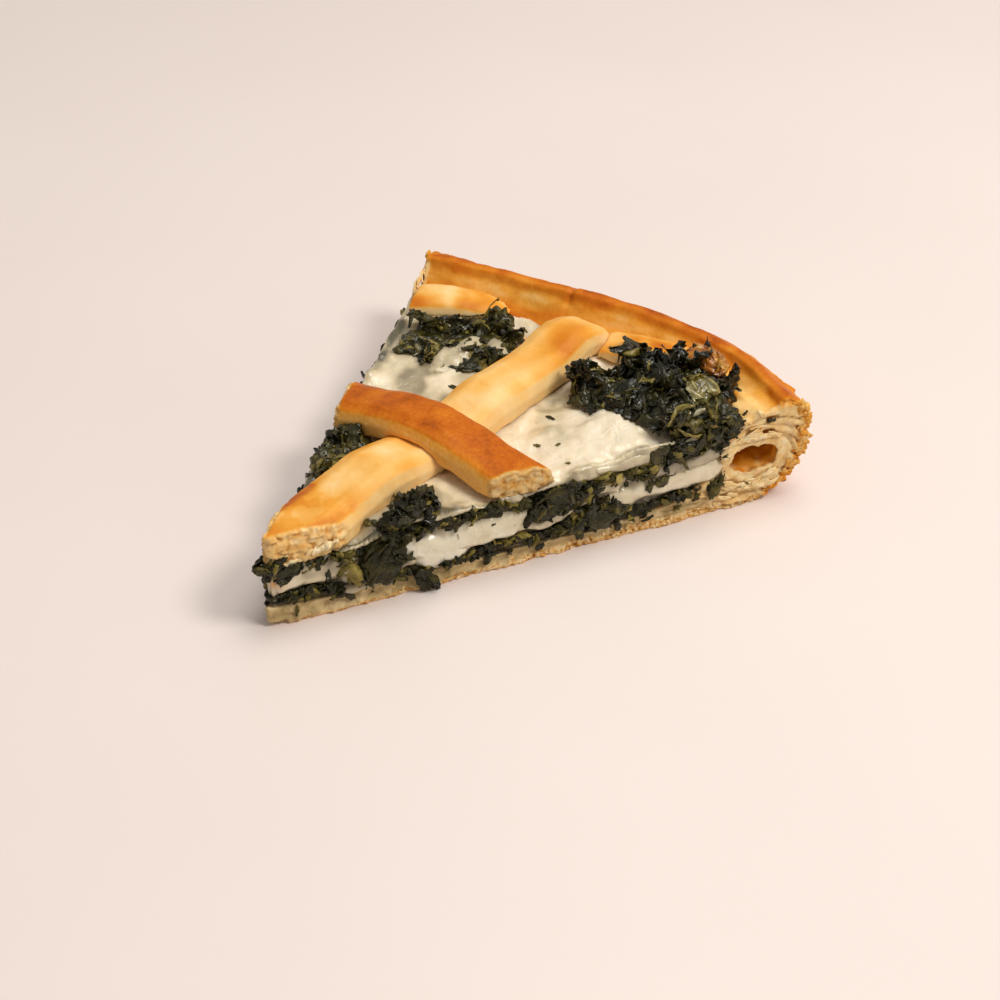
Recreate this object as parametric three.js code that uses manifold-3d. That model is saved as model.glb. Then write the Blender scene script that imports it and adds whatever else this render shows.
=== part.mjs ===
// A cut slice of a baked spinach and cheese pie with a lattice top, in millimetres, +Z up.
// It is worked out from the pie's middle, where the two cuts meet: the slice's middle line runs
// along +X to the rim, and the slice rests on z = 0. At the end the whole is moved so that its
// origin is the middle of the bounding box's floor.
import * as THREE from 'three';
import { mergeVertices } from 'three/addons/utils/BufferGeometryUtils.js';
import Module from 'manifold-3d';

const wasm = await Module();
wasm.setup();

// The slice
const HALF_ANGLE = THREE.MathUtils.degToRad(26); // each cut, from the middle line
const GAP = 0.32; // between pieces that touch

// The pastry case
const BASE_THICKNESS = 4.2;
const WALL_LEAN = 12.4; // how far the wall leans out over its foot
const WALL_HEIGHT = 20; // where the wall is widest
const CREST_RADIUS = 134.3; // at the front cut; the rim draws in towards the back cut
const CREST_SETBACK = 5.9; // from the widest part of the wall
const CREST_HEIGHT = { front: 29.2, back: 27.2 };
const CREST_HALF_WIDTH = 2.6;
const TIP_LIFT = 1.5; // the base curls up a little at the tip

// The filling, as heights of its layers' upper faces: at the tip, and where they lie level
const LOWER_SPINACH_TOP = { tip: 8.9, level: 7.7 };
const LOWER_CHEESE_TOP = 13.4;
const UPPER_SPINACH_TOP = { tip: 14.7, level: 18.2 };
const FILLING_TOP = { tip: 15.6, level: 20.6, corner: 25.2 };
const FILLING_RADIUS = 127;

// The lattice strips
const LONG_STRIP = { width: 14.5, thickness: 8, end: 119 };
const SHORT_STRIP = { width: 13.5, thickness: 6.6, x: 55.5, lean: -0.09 };

// Small shapes
const square = (v) => v * v;
const blend = (a, b, t) => a + (b - a) * t;
const step = (a, b, v) => THREE.MathUtils.smoothstep((v - a) / (b - a), 0, 1);
const bump = (v, centre, spread) => Math.exp(-square((v - centre) / spread));

// An uneven surface, between about -1 and 1, whose waves are about `size` long.
function uneven(x, y, size, seed) {
  const k = (2 * Math.PI) / size;
  return (
    Math.sin(k * (0.93 * x + 0.41 * y) + 1.7 * seed) * 0.42 +
    Math.sin(k * (-0.55 * x + 1.07 * y) * 1.31 + 2.9 * seed) * 0.34 +
    Math.sin(k * (1.21 * x - 0.77 * y) * 1.83 + 4.3 * seed) * 0.24
  );
}

// A seeded draw between 0 and 1.
function draws(seed) {
  let state = seed >>> 0;
  return () => {
    state = (state + 0x6d2b79f5) >>> 0;
    let t = Math.imul(state ^ (state >>> 15), 1 | state);
    t = (t + Math.imul(t ^ (t >>> 7), 61 | t)) ^ t;
    return ((t ^ (t >>> 14)) >>> 0) / 4294967296;
  };
}

function solidOf(points, triangles) {
  const vertProperties = new Float32Array(points.flatMap((p) => [p.x, p.y, p.z]));
  return new wasm.Manifold(
    new wasm.Mesh({ numProp: 3, vertProperties, triVerts: new Uint32Array(triangles.flat()) }),
  );
}

function solidOfGeometry(geometry) {
  const bare = geometry.clone();
  bare.deleteAttribute('normal');
  bare.deleteAttribute('uv');
  const merged = mergeVertices(bare, 1e-4);
  return new wasm.Manifold(
    new wasm.Mesh({
      numProp: 3,
      vertProperties: merged.attributes.position.array,
      triVerts: new Uint32Array(merged.index.array),
    }),
  );
}

// A closed body through rings of the same number of points; `flat` is the ring's outline in 2-D.
function bodyThrough(rings, flat) {
  const count = rings[0].length;
  const points = rings.flat();
  const triangles = [];
  for (let i = 0; i + 1 < rings.length; i++) {
    for (let j = 0; j < count; j++) {
      const a = i * count + j;
      const b = i * count + ((j + 1) % count);
      triangles.push([a, b, b + count], [a, b + count, a + count]);
    }
  }
  const cap = THREE.ShapeUtils.triangulateShape(flat, []);
  const last = (rings.length - 1) * count;
  for (const [a, b, c] of cap) {
    triangles.push([a, c, b], [last + a, last + b, last + c]);
  }
  const made = solidOf(points, triangles);
  return made.volume() > 0 ? made : solidOf(points, triangles.map(([a, b, c]) => [a, c, b]));
}

// The body between two heights over a fan that covers the slice with room to spare.
const FAN_CENTRE = -8;
const FAN_HALF_ANGLE = HALF_ANGLE + 0.05;
function layer(low, high, along, across, radius = FILLING_RADIUS) {
  const points = [];
  const triangles = [];
  const at = (i, j, side) => 2 * (i * (across + 1) + j) + side;
  for (let i = 0; i <= along; i++) {
    const r = blend(4, radius - FAN_CENTRE, Math.pow(i / along, 0.9));
    for (let j = 0; j <= across; j++) {
      const angle = FAN_HALF_ANGLE * ((2 * j) / across - 1);
      const x = FAN_CENTRE + r * Math.cos(angle);
      const y = r * Math.sin(angle);
      points.push(new THREE.Vector3(x, y, low(x, y)), new THREE.Vector3(x, y, high(x, y)));
    }
  }
  const wall = (a, b) => triangles.push([a, b, b + 1], [a, b + 1, a + 1]);
  for (let i = 0; i < along; i++) {
    for (let j = 0; j < across; j++) {
      const [a, b, c, d] = [at(i, j, 0), at(i + 1, j, 0), at(i + 1, j + 1, 0), at(i, j + 1, 0)];
      triangles.push([a, c, b], [a, d, c]);
      triangles.push([a + 1, b + 1, c + 1], [a + 1, c + 1, d + 1]);
    }
    wall(at(i, 0, 0), at(i + 1, 0, 0));
    wall(at(i + 1, across, 0), at(i, across, 0));
  }
  for (let j = 0; j < across; j++) {
    wall(at(0, j + 1, 0), at(0, j, 0));
    wall(at(along, j, 0), at(along, j + 1, 0));
  }
  return solidOf(points, triangles);
}

// The wedge that a knife leaves, with crumbly cut faces: cell is the size of a crumb, depth its
// relief, and outset moves both cuts outwards.
function cutWedge({ cell, depth, outset = 0, seed, blunt = 1.2, low = -3, high = 36 }) {
  const reach = 150;
  const rows = Math.round((high - low) / cell);
  const steps = Math.round(reach / (cell * 1.25));
  const rings = [];
  for (let k = 0; k <= rows; k++) {
    const z = blend(low, high, k / rows);
    const ring = [];
    for (const side of [1, -1]) {
      for (let i = 0; i <= steps; i++) {
        const r = side > 0 ? blend(reach, blunt, i / steps) : blend(blunt, reach, i / steps);
        const relief = k === 0 || k === rows ? 0 : depth * uneven(r, z * 1.4, cell * 4.5, seed + side);
        const off = outset + relief;
        ring.push(
          new THREE.Vector3(
            r * Math.cos(HALF_ANGLE) - off * Math.sin(HALF_ANGLE),
            side * (r * Math.sin(HALF_ANGLE) + off * Math.cos(HALF_ANGLE)),
            z,
          ),
        );
      }
    }
    rings.push(ring);
  }
  return bodyThrough(rings, rings[0].map((p) => new THREE.Vector2(p.x, p.y)));
}

// The largest of a solid's separate pieces.
function largest(solid) {
  return solid.decompose().sort((a, b) => b.volume() - a.volume())[0];
}

function less(solid, ...others) {
  return largest(others.reduce((left, other) => left.subtract(other), solid));
}

// The pastry case: a flat base that turns up into a leaning wall with a rolled crest.
const shareOf = (angle) => THREE.MathUtils.clamp((angle + HALF_ANGLE) / (2 * HALF_ANGLE), -0.1, 1.1);

function caseSection(angle, grow) {
  const share = shareOf(angle);
  const along = angle * CREST_RADIUS;
  const drawnIn = 8.4 * step(0.15, 0.75, share) - 3.2 * step(0.85, 1.02, share);
  const crestR = CREST_RADIUS - drawnIn + 0.4 * uneven(along, 0, 34, 1);
  const crestZ = blend(CREST_HEIGHT.front, CREST_HEIGHT.back, share) + 0.6 * uneven(along, 9, 27, 2);
  const wallR = crestR + CREST_SETBACK;
  const footR = wallR - WALL_LEAN;
  const crag = (z) => 0.55 * uneven(along, z * 1.6, 8, 3);
  const filled = step(0.2, 0.04, share); // a fold of dough fills the crest's inner side at the front cut
  const outer = [
    [footR, 0],
    [footR + 4.2 + crag(3) * 0.6, 2.9],
    [blend(footR, wallR, 0.74) + crag(7), WALL_HEIGHT * 0.36],
    [blend(footR, wallR, 0.94) + crag(12), WALL_HEIGHT * 0.65],
    [wallR - 0.1 + 0.8 * crag(19), WALL_HEIGHT],
    [blend(wallR, crestR, 0.25) + 0.5 * crag(26), blend(WALL_HEIGHT, crestZ, 0.66)],
  ];
  const crest = [0.12, 0.42, 0.7, 0.97].map((turn) => [
    crestR + CREST_HALF_WIDTH * Math.cos(turn * Math.PI),
    crestZ - CREST_HALF_WIDTH * (1 - Math.sin(turn * Math.PI)),
  ]);
  const slope = [
    [crestR - 5.2, crestZ - 5.2 + 2.4 * filled],
    [crestR - 8.6, crestZ - 7.6 + 3.6 * filled],
    [crestR - 12.4, 17.8 + 5.6 * filled],
    [crestR - 16, 13.6 + 4 * filled],
    [crestR - 20.5, 9.6 + 1 * filled],
    [crestR - 26, 6.4],
  ].map(([r, z]) => [r - 0.8 * grow + 0.3 * uneven(along, r, 13, 4), z + grow]);
  const floor = [92, 72, 52, 34, 17, 0].map((r) => [
    r,
    BASE_THICKNESS + grow + 0.25 * uneven(r, along, 22, 5) + 1.4 * bump(r, 0, 14),
  ]);
  const sole = [0, 9, 21, 60].map((r) => [r, TIP_LIFT * square(Math.max(0, 1 - r / 21))]);
  return [...outer, ...crest, ...slope, ...floor, ...sole];
}

const CASE_STEPS = 18;
const TIP_SHIFT = 6; // keeps the sections apart at the tip
function caseBody(grow) {
  const rings = [];
  for (let i = 0; i <= CASE_STEPS; i++) {
    const angle = FAN_HALF_ANGLE * ((2 * i) / CASE_STEPS - 1);
    rings.push(
      caseSection(angle, grow).map(([r, z]) => {
        const shift = TIP_SHIFT * (1 - r / CREST_RADIUS);
        return new THREE.Vector3((r + shift) * Math.cos(angle) - shift, (r + shift) * Math.sin(angle), z);
      }),
    );
  }
  const section = caseSection(-FAN_HALF_ANGLE, grow);
  return bodyThrough(rings, section.map(([r, z]) => new THREE.Vector2(r, z)));
}

// A blister in the dough, open at the front cut: an egg that runs back along the rim.
function blister({ radius, height, wide, tall, deep, tilt }) {
  const egg = new THREE.SphereGeometry(1, 12, 7);
  egg.scale(wide / 2, deep, tall / 2);
  egg.rotateY(tilt);
  egg.rotateZ(-HALF_ANGLE);
  egg.translate(radius * Math.cos(HALF_ANGLE), -radius * Math.sin(HALF_ANGLE), height);
  return solidOfGeometry(egg);
}

function pastryCase() {
  const rough = cutWedge({ cell: 3.1, depth: 0.45, seed: 6 });
  return less(
    caseBody(0).intersect(rough),
    blister({ radius: 125.4, height: 13.3, wide: 13.6, tall: 8, deep: 17, tilt: 0.06 }),
    blister({ radius: 127.2, height: 19.6, wide: 8.4, tall: 2.2, deep: 4.5, tilt: -0.15 }),
    blister({ radius: 129.4, height: 23.6, wide: 5.4, tall: 1.5, deep: 2.6, tilt: -0.5 }),
  );
}

// Heights of the filling's faces. `front` is 1 at the front cut and fades towards the inside.
const frontOf = (x, y) => step(20, 2, x * Math.sin(HALF_ANGLE) + y * Math.cos(HALF_ANGLE));

function lowerSpinachTop(x, y) {
  const r = Math.hypot(x, y);
  const clump = 5.2 * bump(r, 85.5, 6.2) + 1.2 * bump(r, 60, 9) - 0.6 * bump(r, 42, 9);
  return blend(LOWER_SPINACH_TOP.tip, LOWER_SPINACH_TOP.level, step(6, 24, r))
    + frontOf(x, y) * clump + 1.3 * step(92, 112, r) + 0.35 * uneven(x, y, 24, 7);
}

function lowerCheeseTop(x, y) {
  const r = Math.hypot(x, y);
  const swell = 2.2 * bump(r, 40, 10) - 2 * bump(r, 69, 7) + 1.6 * bump(r, 87, 6);
  return LOWER_CHEESE_TOP + frontOf(x, y) * swell + 2 * step(78, 100, r) + 0.3 * uneven(x, y, 30, 8);
}

function upperSpinachTop(x, y) {
  const r = Math.hypot(x, y);
  const clump = 1.6 * bump(r, 34, 7) + 2 * bump(r, 74, 9);
  const top = blend(UPPER_SPINACH_TOP.tip, UPPER_SPINACH_TOP.level, step(12, 32, r))
    + frontOf(x, y) * (clump + 2.8 * step(80, 98, r)) + 0.3 * uneven(x, y, 19, 9);
  return Math.min(top, fillingTop(x, y) - 0.9);
}

function fillingTop(x, y) {
  const r = Math.hypot(x, y);
  const rise = blend(FILLING_TOP.level, FILLING_TOP.corner, step(68, 100, r) * step(6, -32, y));
  return blend(FILLING_TOP.tip, rise, step(13, 38, r))
    - 1.7 * bump(r, 63, 10) + 1.8 * frontOf(x, y) * bump(r, 75, 7) + 0.45 * uneven(x, y, 21, 10) + 0.2 * uneven(x, y, 9, 11);
}

const LAYER_STEPS = [22, 5];
const caseGrown = caseBody(GAP);
const raised = (surface, by) => (x, y) => surface(x, y) + by;

function fillingLayer(low, high, rough) {
  return less(layer(low, high, ...LAYER_STEPS).intersect(cutWedge(rough)), caseGrown);
}

// Everything below the filling's top, for trimming what lies on it.
const bed = layer(() => -4, raised(fillingTop, GAP), ...LAYER_STEPS);

// A torn piece of cooked leaf: a thin wavy sheet, both faces split alike.
function leaf({ length, width, thick = 0.9, curl, wave, place, turn }) {
  const along = 3;
  const across = 2;
  const points = [];
  const triangles = [];
  const at = (i, j, side) => 2 * (i * (across + 1) + j) + side;
  const frame = new THREE.Matrix4().makeRotationFromEuler(new THREE.Euler(...turn, 'ZYX')).setPosition(place);
  for (let i = 0; i <= along; i++) {
    const u = i / along - 0.5;
    const taper = 1 - 0.75 * square(2 * u) * Math.abs(u + 0.1);
    for (let j = 0; j <= across; j++) {
      const v = j / across - 0.5;
      const rise = curl * (square(u) * length + square(v) * width * 1.5) + wave * Math.sin(7 * u + 5 * v);
      const sheet = new THREE.Vector3(u * length, v * width * taper, rise);
      for (const side of [-1, 1]) {
        points.push(sheet.clone().setZ(rise + (side * thick) / 2).applyMatrix4(frame));
      }
    }
  }
  const wall = (a, b) => triangles.push([a, b, b + 1], [a, b + 1, a + 1]);
  for (let i = 0; i < along; i++) {
    for (let j = 0; j < across; j++) {
      const [a, b, c, d] = [at(i, j, 0), at(i + 1, j, 0), at(i + 1, j + 1, 0), at(i, j + 1, 0)];
      triangles.push([a, c, b], [a, d, c]);
      triangles.push([a + 1, b + 1, c + 1], [a + 1, c + 1, d + 1]);
    }
    wall(at(i, 0, 0), at(i + 1, 0, 0));
    wall(at(i + 1, across, 0), at(i, across, 0));
  }
  for (let j = 0; j < across; j++) {
    wall(at(0, j + 1, 0), at(0, j, 0));
    wall(at(along, j, 0), at(along, j + 1, 0));
  }
  return solidOf(points, triangles);
}

// A leaf that hangs on the front cut, clear of the neighbouring layers, and holds on to its own
// layer at the height of its root.
const LEAF_OFF = 1.55;
function hangingLeaf({ radius, height, length, width, roll, root }) {
  const facing = new THREE.Matrix4().makeBasis(
    new THREE.Vector3(Math.cos(HALF_ANGLE), -Math.sin(HALF_ANGLE), 0),
    new THREE.Vector3(0, 0, 1),
    new THREE.Vector3(-Math.sin(HALF_ANGLE), -Math.cos(HALF_ANGLE), 0),
  );
  const sheet = leaf({
    length,
    width,
    curl: 0.01,
    wave: 0.15,
    place: new THREE.Vector3(radius, height, LEAF_OFF),
    turn: [0, 0, roll],
  });
  const stalk = new THREE.BoxGeometry(4.5, 0.7, LEAF_OFF + 1.6);
  stalk.translate(radius, root, LEAF_OFF / 2 - 0.8);
  return sheet.add(solidOfGeometry(stalk)).transform(facing.toArray());
}

// A heap of chopped spinach: a lumpy core with torn leaves fused to it.
function heap({ x, y, reachX, reachY, height, turn, leaves, leafLength, seed }) {
  const around = 15;
  const out = 4;
  const random = draws(seed);
  const surface = (angle, share) => {
    const edge = 1 + 0.13 * Math.sin(3 * angle + seed) + 0.08 * Math.sin(5 * angle + 2 * seed);
    const px = reachX * share * edge * Math.cos(angle);
    const py = reachY * share * edge * Math.sin(angle);
    const wx = x + px * Math.cos(turn) - py * Math.sin(turn);
    const wy = y + px * Math.sin(turn) + py * Math.cos(turn);
    const lump = 1.1 * uneven(wx, wy, 7, seed) * Math.min(1, height / 4);
    const rise = height * Math.pow(Math.max(0, 1 - square(share)), 0.55) + lump * (1 - Math.pow(share, 6));
    return new THREE.Vector3(wx, wy, fillingTop(wx, wy) + (share < 1 ? rise : -0.6));
  };
  const rings = [];
  for (let i = 1; i <= out; i++) {
    const share = Math.pow(i / out, 0.8);
    rings.push(Array.from({ length: around }, (_, j) => surface((j / around) * 2 * Math.PI, share)));
  }
  const under = rings.at(-1).map((p) => p.clone().setZ(p.z - 3));
  rings.push(under);
  let made = bodyThrough(rings, rings[0].map((p) => new THREE.Vector2(p.x, p.y)));
  for (let k = 0; k < leaves; k++) {
    const angle = k * 2.39996 + random();
    const share = Math.sqrt((k + 0.5) / leaves) * 0.97;
    const place = surface(angle, share);
    place.z += 0.35;
    made = made.add(
      leaf({
        length: leafLength * (0.7 + 0.6 * random()),
        width: leafLength * (0.4 + 0.4 * random()),
        curl: 0.35 + 0.5 * random(),
        wave: 0.5 + 0.5 * random(),
        place,
        turn: [1.1 * (random() - 0.5), 1.2 * (random() - 0.5) + 0.5 * share, 2 * Math.PI * random()],
      }),
    );
  }
  return made;
}

// A strip of dough along a line of places, each with a middle, a width and a thickness.
// Its section is flat below, with round upper edges.
const STRIP_SECTION = [
  [-0.5, -0.5], [0.5, -0.5], [0.53, 0], [0.45, 0.35], [0.25, 0.5], [-0.25, 0.5], [-0.45, 0.35], [-0.53, 0],
];
function strip(places, grow = 0) {
  const line = new THREE.CatmullRomCurve3(places.map((p) => p.middle));
  const steps = (places.length - 1) * 2;
  const rings = [];
  for (let i = 0; i <= steps; i++) {
    const t = i / steps;
    const at = Math.min(t * (places.length - 1), places.length - 1.001);
    const [from, to] = [places[Math.floor(at)], places[Math.floor(at) + 1]];
    const width = blend(from.width, to.width, at % 1) + 2 * grow;
    const thick = blend(from.thick, to.thick, at % 1) + 2 * grow;
    const middle = line.getPoint(t);
    const ahead = line.getTangent(t);
    const level = new THREE.Vector3(ahead.y, -ahead.x, 0).normalize();
    const up = new THREE.Vector3().crossVectors(level, ahead);
    rings.push(
      STRIP_SECTION.map(([a, b]) => {
        const wobble = 1 + 0.03 * uneven(middle.x, middle.y + 9 * a, 19, 12);
        return middle.clone().addScaledVector(level, a * width * wobble).addScaledVector(up, b * thick * wobble);
      }),
    );
  }
  return bodyThrough(rings, STRIP_SECTION.map(([a, b]) => new THREE.Vector2(a, b)));
}

const place = (x, y, z, width, thick) => ({ middle: new THREE.Vector3(x, y, z), width, thick });

// The long strip runs along the slice's middle line, dips under the short one, and arches up to
// its round end on the rim.
function longStrip(grow) {
  const { width, thickness, end } = LONG_STRIP;
  const mid = (x, y, lift, wider = 0) =>
    place(x, y, fillingTop(x, y) + thickness / 2 - 0.4 + lift, width + wider, thickness);
  return strip(
    [
      place(-6, -0.4, 19.4, width + 1.3, 9.8),
      place(8, -0.4, 20.8, width + 1.3, 9.6),
      mid(23, -0.2, 1.2, 1.3),
      mid(36, -0.2, 0.2, 0.9),
      place(48, -0.4, 22.7, width * 1.02, 6.8),
      place(61, -0.4, 22.4, width * 1.02, 6.8),
      mid(73, -0.4, 1.4),
      mid(86, -0.3, 0.6),
      mid(98, 0, 0.1),
      place(107, 0.4, 27.2, width * 0.98, 7.2),
      place(114, 0.6, 25.4, width * 0.92, 6.6),
      place(end, 0.8, 22, width * 0.66, 5),
    ],
    grow,
  );
}

// The short strip crosses over the long one from cut to cut.
function shortStrip(grow) {
  const { width, thickness, x, lean } = SHORT_STRIP;
  const at = (y, top, bow = 0) => place(x + lean * y + bow, y, top - thickness / 2, width, thickness);
  return strip(
    [
      at(40, 25.6, -1),
      at(28, 26.6),
      at(17, 28.4, 0.6),
      at(7, 30.6, 0.8),
      at(-2, 31, 0.7),
      at(-11, 29.6, 0.4),
      at(-20, 27.6),
      at(-38, 25.6, -1),
    ],
    grow,
  );
}

// Two shorter ends of lattice strips lie inside the rim.
function latticeEndBack(grow) {
  return strip(
    [
      place(91, 60, 19.4, 11, 6.4),
      place(100, 50, 20.6, 12, 6.8),
      place(107, 41, 21.2, 12, 6.6),
      place(112, 32, 20.4, 10, 6),
      place(115, 25, 18.6, 6, 4),
    ],
    grow,
  );
}

function latticeEndFront(grow) {
  return strip(
    [
      place(115, -2, 21.6, 10, 6.5),
      place(117.5, -12, 23, 12, 7),
      place(119.5, -22, 23.6, 12.5, 7.2),
      place(120.5, -33, 23.6, 12, 7),
      place(118.5, -42, 22, 8, 5),
    ],
    grow,
  );
}

// Soft pieces of onion in the large heap: a flake that faces the front cut, and a browned one
// behind it that lies along the lattice's front end.
function onionFlake({ x, y, rise, sizes, lean, turn }, grow) {
  const flake = new THREE.SphereGeometry(1, 10, 6);
  flake.scale(sizes[0] + grow, sizes[1] + grow, sizes[2] + grow);
  flake.rotateX(lean);
  flake.rotateZ(turn);
  flake.translate(x, y, fillingTop(x, y) + rise);
  return solidOfGeometry(flake);
}

const FLAKE = { x: 107.5, y: -41, rise: 4.2, sizes: [5, 4.1, 2.1], lean: 0.45, turn: -0.5 };
const BROWNED_FLAKE = { x: 120.5, y: -33.5, rise: 3.6, sizes: [6.8, 3, 1.9], lean: -0.2, turn: 1.35 };

// The pieces, in the order in which they are built up
const crumbly = (seed, more = {}) => cutWedge({ cell: 2.3, depth: 0.5, seed, low: 12, high: 36, blunt: 2.4, ...more });
const leafy = { cell: 4, depth: 0.6, outset: 0.2, blunt: 2 };
const smooth = { cell: 6, depth: 0.45, outset: -0.05, blunt: 2.6 };

const pieces = [];
function add(name, solid, colour, roughness) {
  pieces.push({ name, solid, colour, roughness });
  return solid;
}

const PASTRY = 0xe0ad62;
const BROWNED = 0xc5742c;
const SPINACH = 0x2b3018;
const CHEESE = 0xe8dfbe;

add('pastry_case', pastryCase(), PASTRY, 0.75);

const floorOfFilling = () => BASE_THICKNESS + GAP + 0.3;
const lowerSpinach = fillingLayer(floorOfFilling, lowerSpinachTop, { ...leafy, seed: 13 })
  .add(hangingLeaf({ radius: 38.6, height: 3.8, length: 5, width: 7, roll: 0.5, root: 6 }))
  .add(hangingLeaf({ radius: 84, height: 8, length: 8, width: 6, roll: -0.3, root: 8.5 }));
add('spinach_lower', largest(lowerSpinach), SPINACH, 0.45);

const lowerCheese = fillingLayer(raised(lowerSpinachTop, GAP), lowerCheeseTop, { ...smooth, seed: 14 });
add('cheese_lower', lowerCheese, CHEESE, 0.4);

const upperSpinach = fillingLayer(raised(lowerCheeseTop, GAP), upperSpinachTop, { ...leafy, seed: 15 })
  .add(hangingLeaf({ radius: 29, height: 12.6, length: 14, width: 11, roll: 1.15, root: 16.2 }))
  .add(hangingLeaf({ radius: 71, height: 16.4, length: 12, width: 7.5, roll: 0.5, root: 16.4 }))
  .add(hangingLeaf({ radius: 6, height: 15.2, length: 8, width: 5, roll: 0.5, root: 14.3 }));
add('spinach_upper', largest(upperSpinach), SPINACH, 0.45);

const topCheese = fillingLayer(raised(upperSpinachTop, GAP), fillingTop, { ...smooth, outset: 0.1, seed: 16 });
add('cheese_top', topCheese, CHEESE, 0.35);

add(
  'strip_long',
  less(longStrip(0).intersect(crumbly(17)), bed, caseGrown),
  PASTRY,
  0.7,
);
add(
  'strip_short',
  less(shortStrip(0).intersect(crumbly(18, { depth: 0.4 })), bed, longStrip(GAP)),
  BROWNED,
  0.7,
);
add('lattice_end_back', less(latticeEndBack(0).intersect(crumbly(19, { outset: -1.6, blunt: 9 })), bed, caseGrown), PASTRY, 0.7);
add(
  'lattice_end_front',
  less(latticeEndFront(0).intersect(crumbly(20)), bed, caseGrown, longStrip(GAP)),
  PASTRY,
  0.7,
);
add('onion_piece', less(onionFlake(FLAKE, 0), bed), 0xb9a566, 0.3);
add(
  'onion_browned',
  less(onionFlake(BROWNED_FLAKE, 0), bed, caseGrown, latticeEndFront(GAP), onionFlake(FLAKE, GAP)),
  0x9a5a20,
  0.3,
);

const keepOut = [
  bed,
  caseGrown,
  longStrip(GAP),
  shortStrip(GAP),
  latticeEndBack(GAP),
  latticeEndFront(GAP),
  onionFlake(FLAKE, GAP),
  onionFlake(BROWNED_FLAKE, GAP),
];
const heaps = {
  spinach_mound: {
    x: 105, y: -32.8, reachX: 17.5, reachY: 22.5, height: 4, turn: 0.25, leaves: 14, leafLength: 10, seed: 21,
  },
  spinach_back: {
    x: 96.5, y: 26, reachX: 18, reachY: 17, height: 2, turn: 0.9, leaves: 9, leafLength: 8, seed: 22,
  },
  spinach_left: {
    x: 40, y: 15, reachX: 13, reachY: 7.5, height: 2, turn: 0.42, leaves: 4, leafLength: 7.5, seed: 23,
  },
  spinach_front: {
    x: 33.5, y: -13, reachX: 8, reachY: 4.6, height: 2.2, turn: -0.45, leaves: 4, leafLength: 6.5, seed: 24,
  },
};
for (const [name, sizes] of Object.entries(heaps)) {
  const edge = cutWedge({ ...leafy, outset: 0.6, seed: sizes.seed, low: 12 });
  add(name, less(heap(sizes).intersect(edge), ...keepOut), SPINACH, 0.4);
}

// The scene graph, moved so that the origin is the middle of the bounding box's floor
function meshOf({ name, solid, colour, roughness }) {
  const got = solid.getMesh();
  const geometry = new THREE.BufferGeometry();
  geometry.setAttribute('position', new THREE.BufferAttribute(new Float32Array(got.vertProperties), 3));
  geometry.setIndex(new THREE.BufferAttribute(new Uint32Array(got.triVerts), 1));
  const mesh = new THREE.Mesh(geometry, new THREE.MeshStandardMaterial({ color: colour, roughness, metalness: 0 }));
  mesh.name = name;
  return mesh;
}

const slice = new THREE.Group();
slice.add(...pieces.map(meshOf));
const room = new THREE.Box3().setFromObject(slice);
const middle = room.getCenter(new THREE.Vector3());
slice.position.set(-middle.x, -middle.y, -room.min.z);

export default slice;
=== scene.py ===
"""The looks of a slice of spinach and cheese pie with a lattice top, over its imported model."""
import math

import bpy
import numpy as np
from mathutils.bvhtree import BVHTree
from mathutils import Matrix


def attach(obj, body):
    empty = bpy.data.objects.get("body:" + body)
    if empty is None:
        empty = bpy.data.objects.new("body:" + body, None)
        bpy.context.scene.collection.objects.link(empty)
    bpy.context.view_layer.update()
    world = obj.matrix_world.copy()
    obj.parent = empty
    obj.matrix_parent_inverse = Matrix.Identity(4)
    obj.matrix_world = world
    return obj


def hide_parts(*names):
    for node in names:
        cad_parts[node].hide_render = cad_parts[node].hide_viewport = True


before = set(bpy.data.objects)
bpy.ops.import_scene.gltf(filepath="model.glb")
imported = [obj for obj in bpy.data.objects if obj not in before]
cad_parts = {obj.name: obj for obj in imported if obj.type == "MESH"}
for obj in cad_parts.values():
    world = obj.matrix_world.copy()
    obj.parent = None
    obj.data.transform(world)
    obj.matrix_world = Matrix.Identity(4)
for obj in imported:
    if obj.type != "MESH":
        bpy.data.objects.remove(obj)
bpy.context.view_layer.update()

# The pastry case: short, pale dough under the filling that turns up into a thick rolled crust at
# the rim. It is one sheet of dough, pressed into the tin, filled, folded over and baked. The knife
# leaves crumbly, flaky faces, and opens a blister in the crust.
TIP = np.array([-0.06775, 0.00113, 0.0])  # where the two cuts meet, in metres
HALF_ANGLE = math.radians(26)
SINE, COSINE = math.sin(HALF_ANGLE), math.cos(HALF_ANGLE)
CREST_RADIUS, CREST_HEIGHT = 134.3, 29.2  # the rim's highest line, at the front cut
CRUST_GRAIN = 0.00046
# The blisters: how far along the cut and how high their middles are, and their half sizes
BLISTER = (125.4, 13.3, 6.8, 4.0)
SMALL_BLISTER = (127.2, 19.6, 4.6, 1.5)


def pick(piece):
    """Selects this piece alone."""
    bpy.ops.object.select_all(action="DESELECT")
    piece.select_set(True)
    bpy.context.view_layer.objects.active = piece


def modify(piece, kind, **values):
    """Adds a modifier with these values and applies it."""
    pick(piece)
    modifier = piece.modifiers.new(kind.lower(), kind)
    for name, value in values.items():
        setattr(modifier, name, value)
    bpy.ops.object.modifier_apply(modifier=modifier.name)


def edit(piece, action, **values):
    """Does one thing to the whole mesh of a piece."""
    pick(piece)
    bpy.ops.object.mode_set(mode="EDIT")
    bpy.ops.mesh.select_all(action="SELECT")
    action(**values)
    bpy.ops.object.mode_set(mode="OBJECT")


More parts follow.
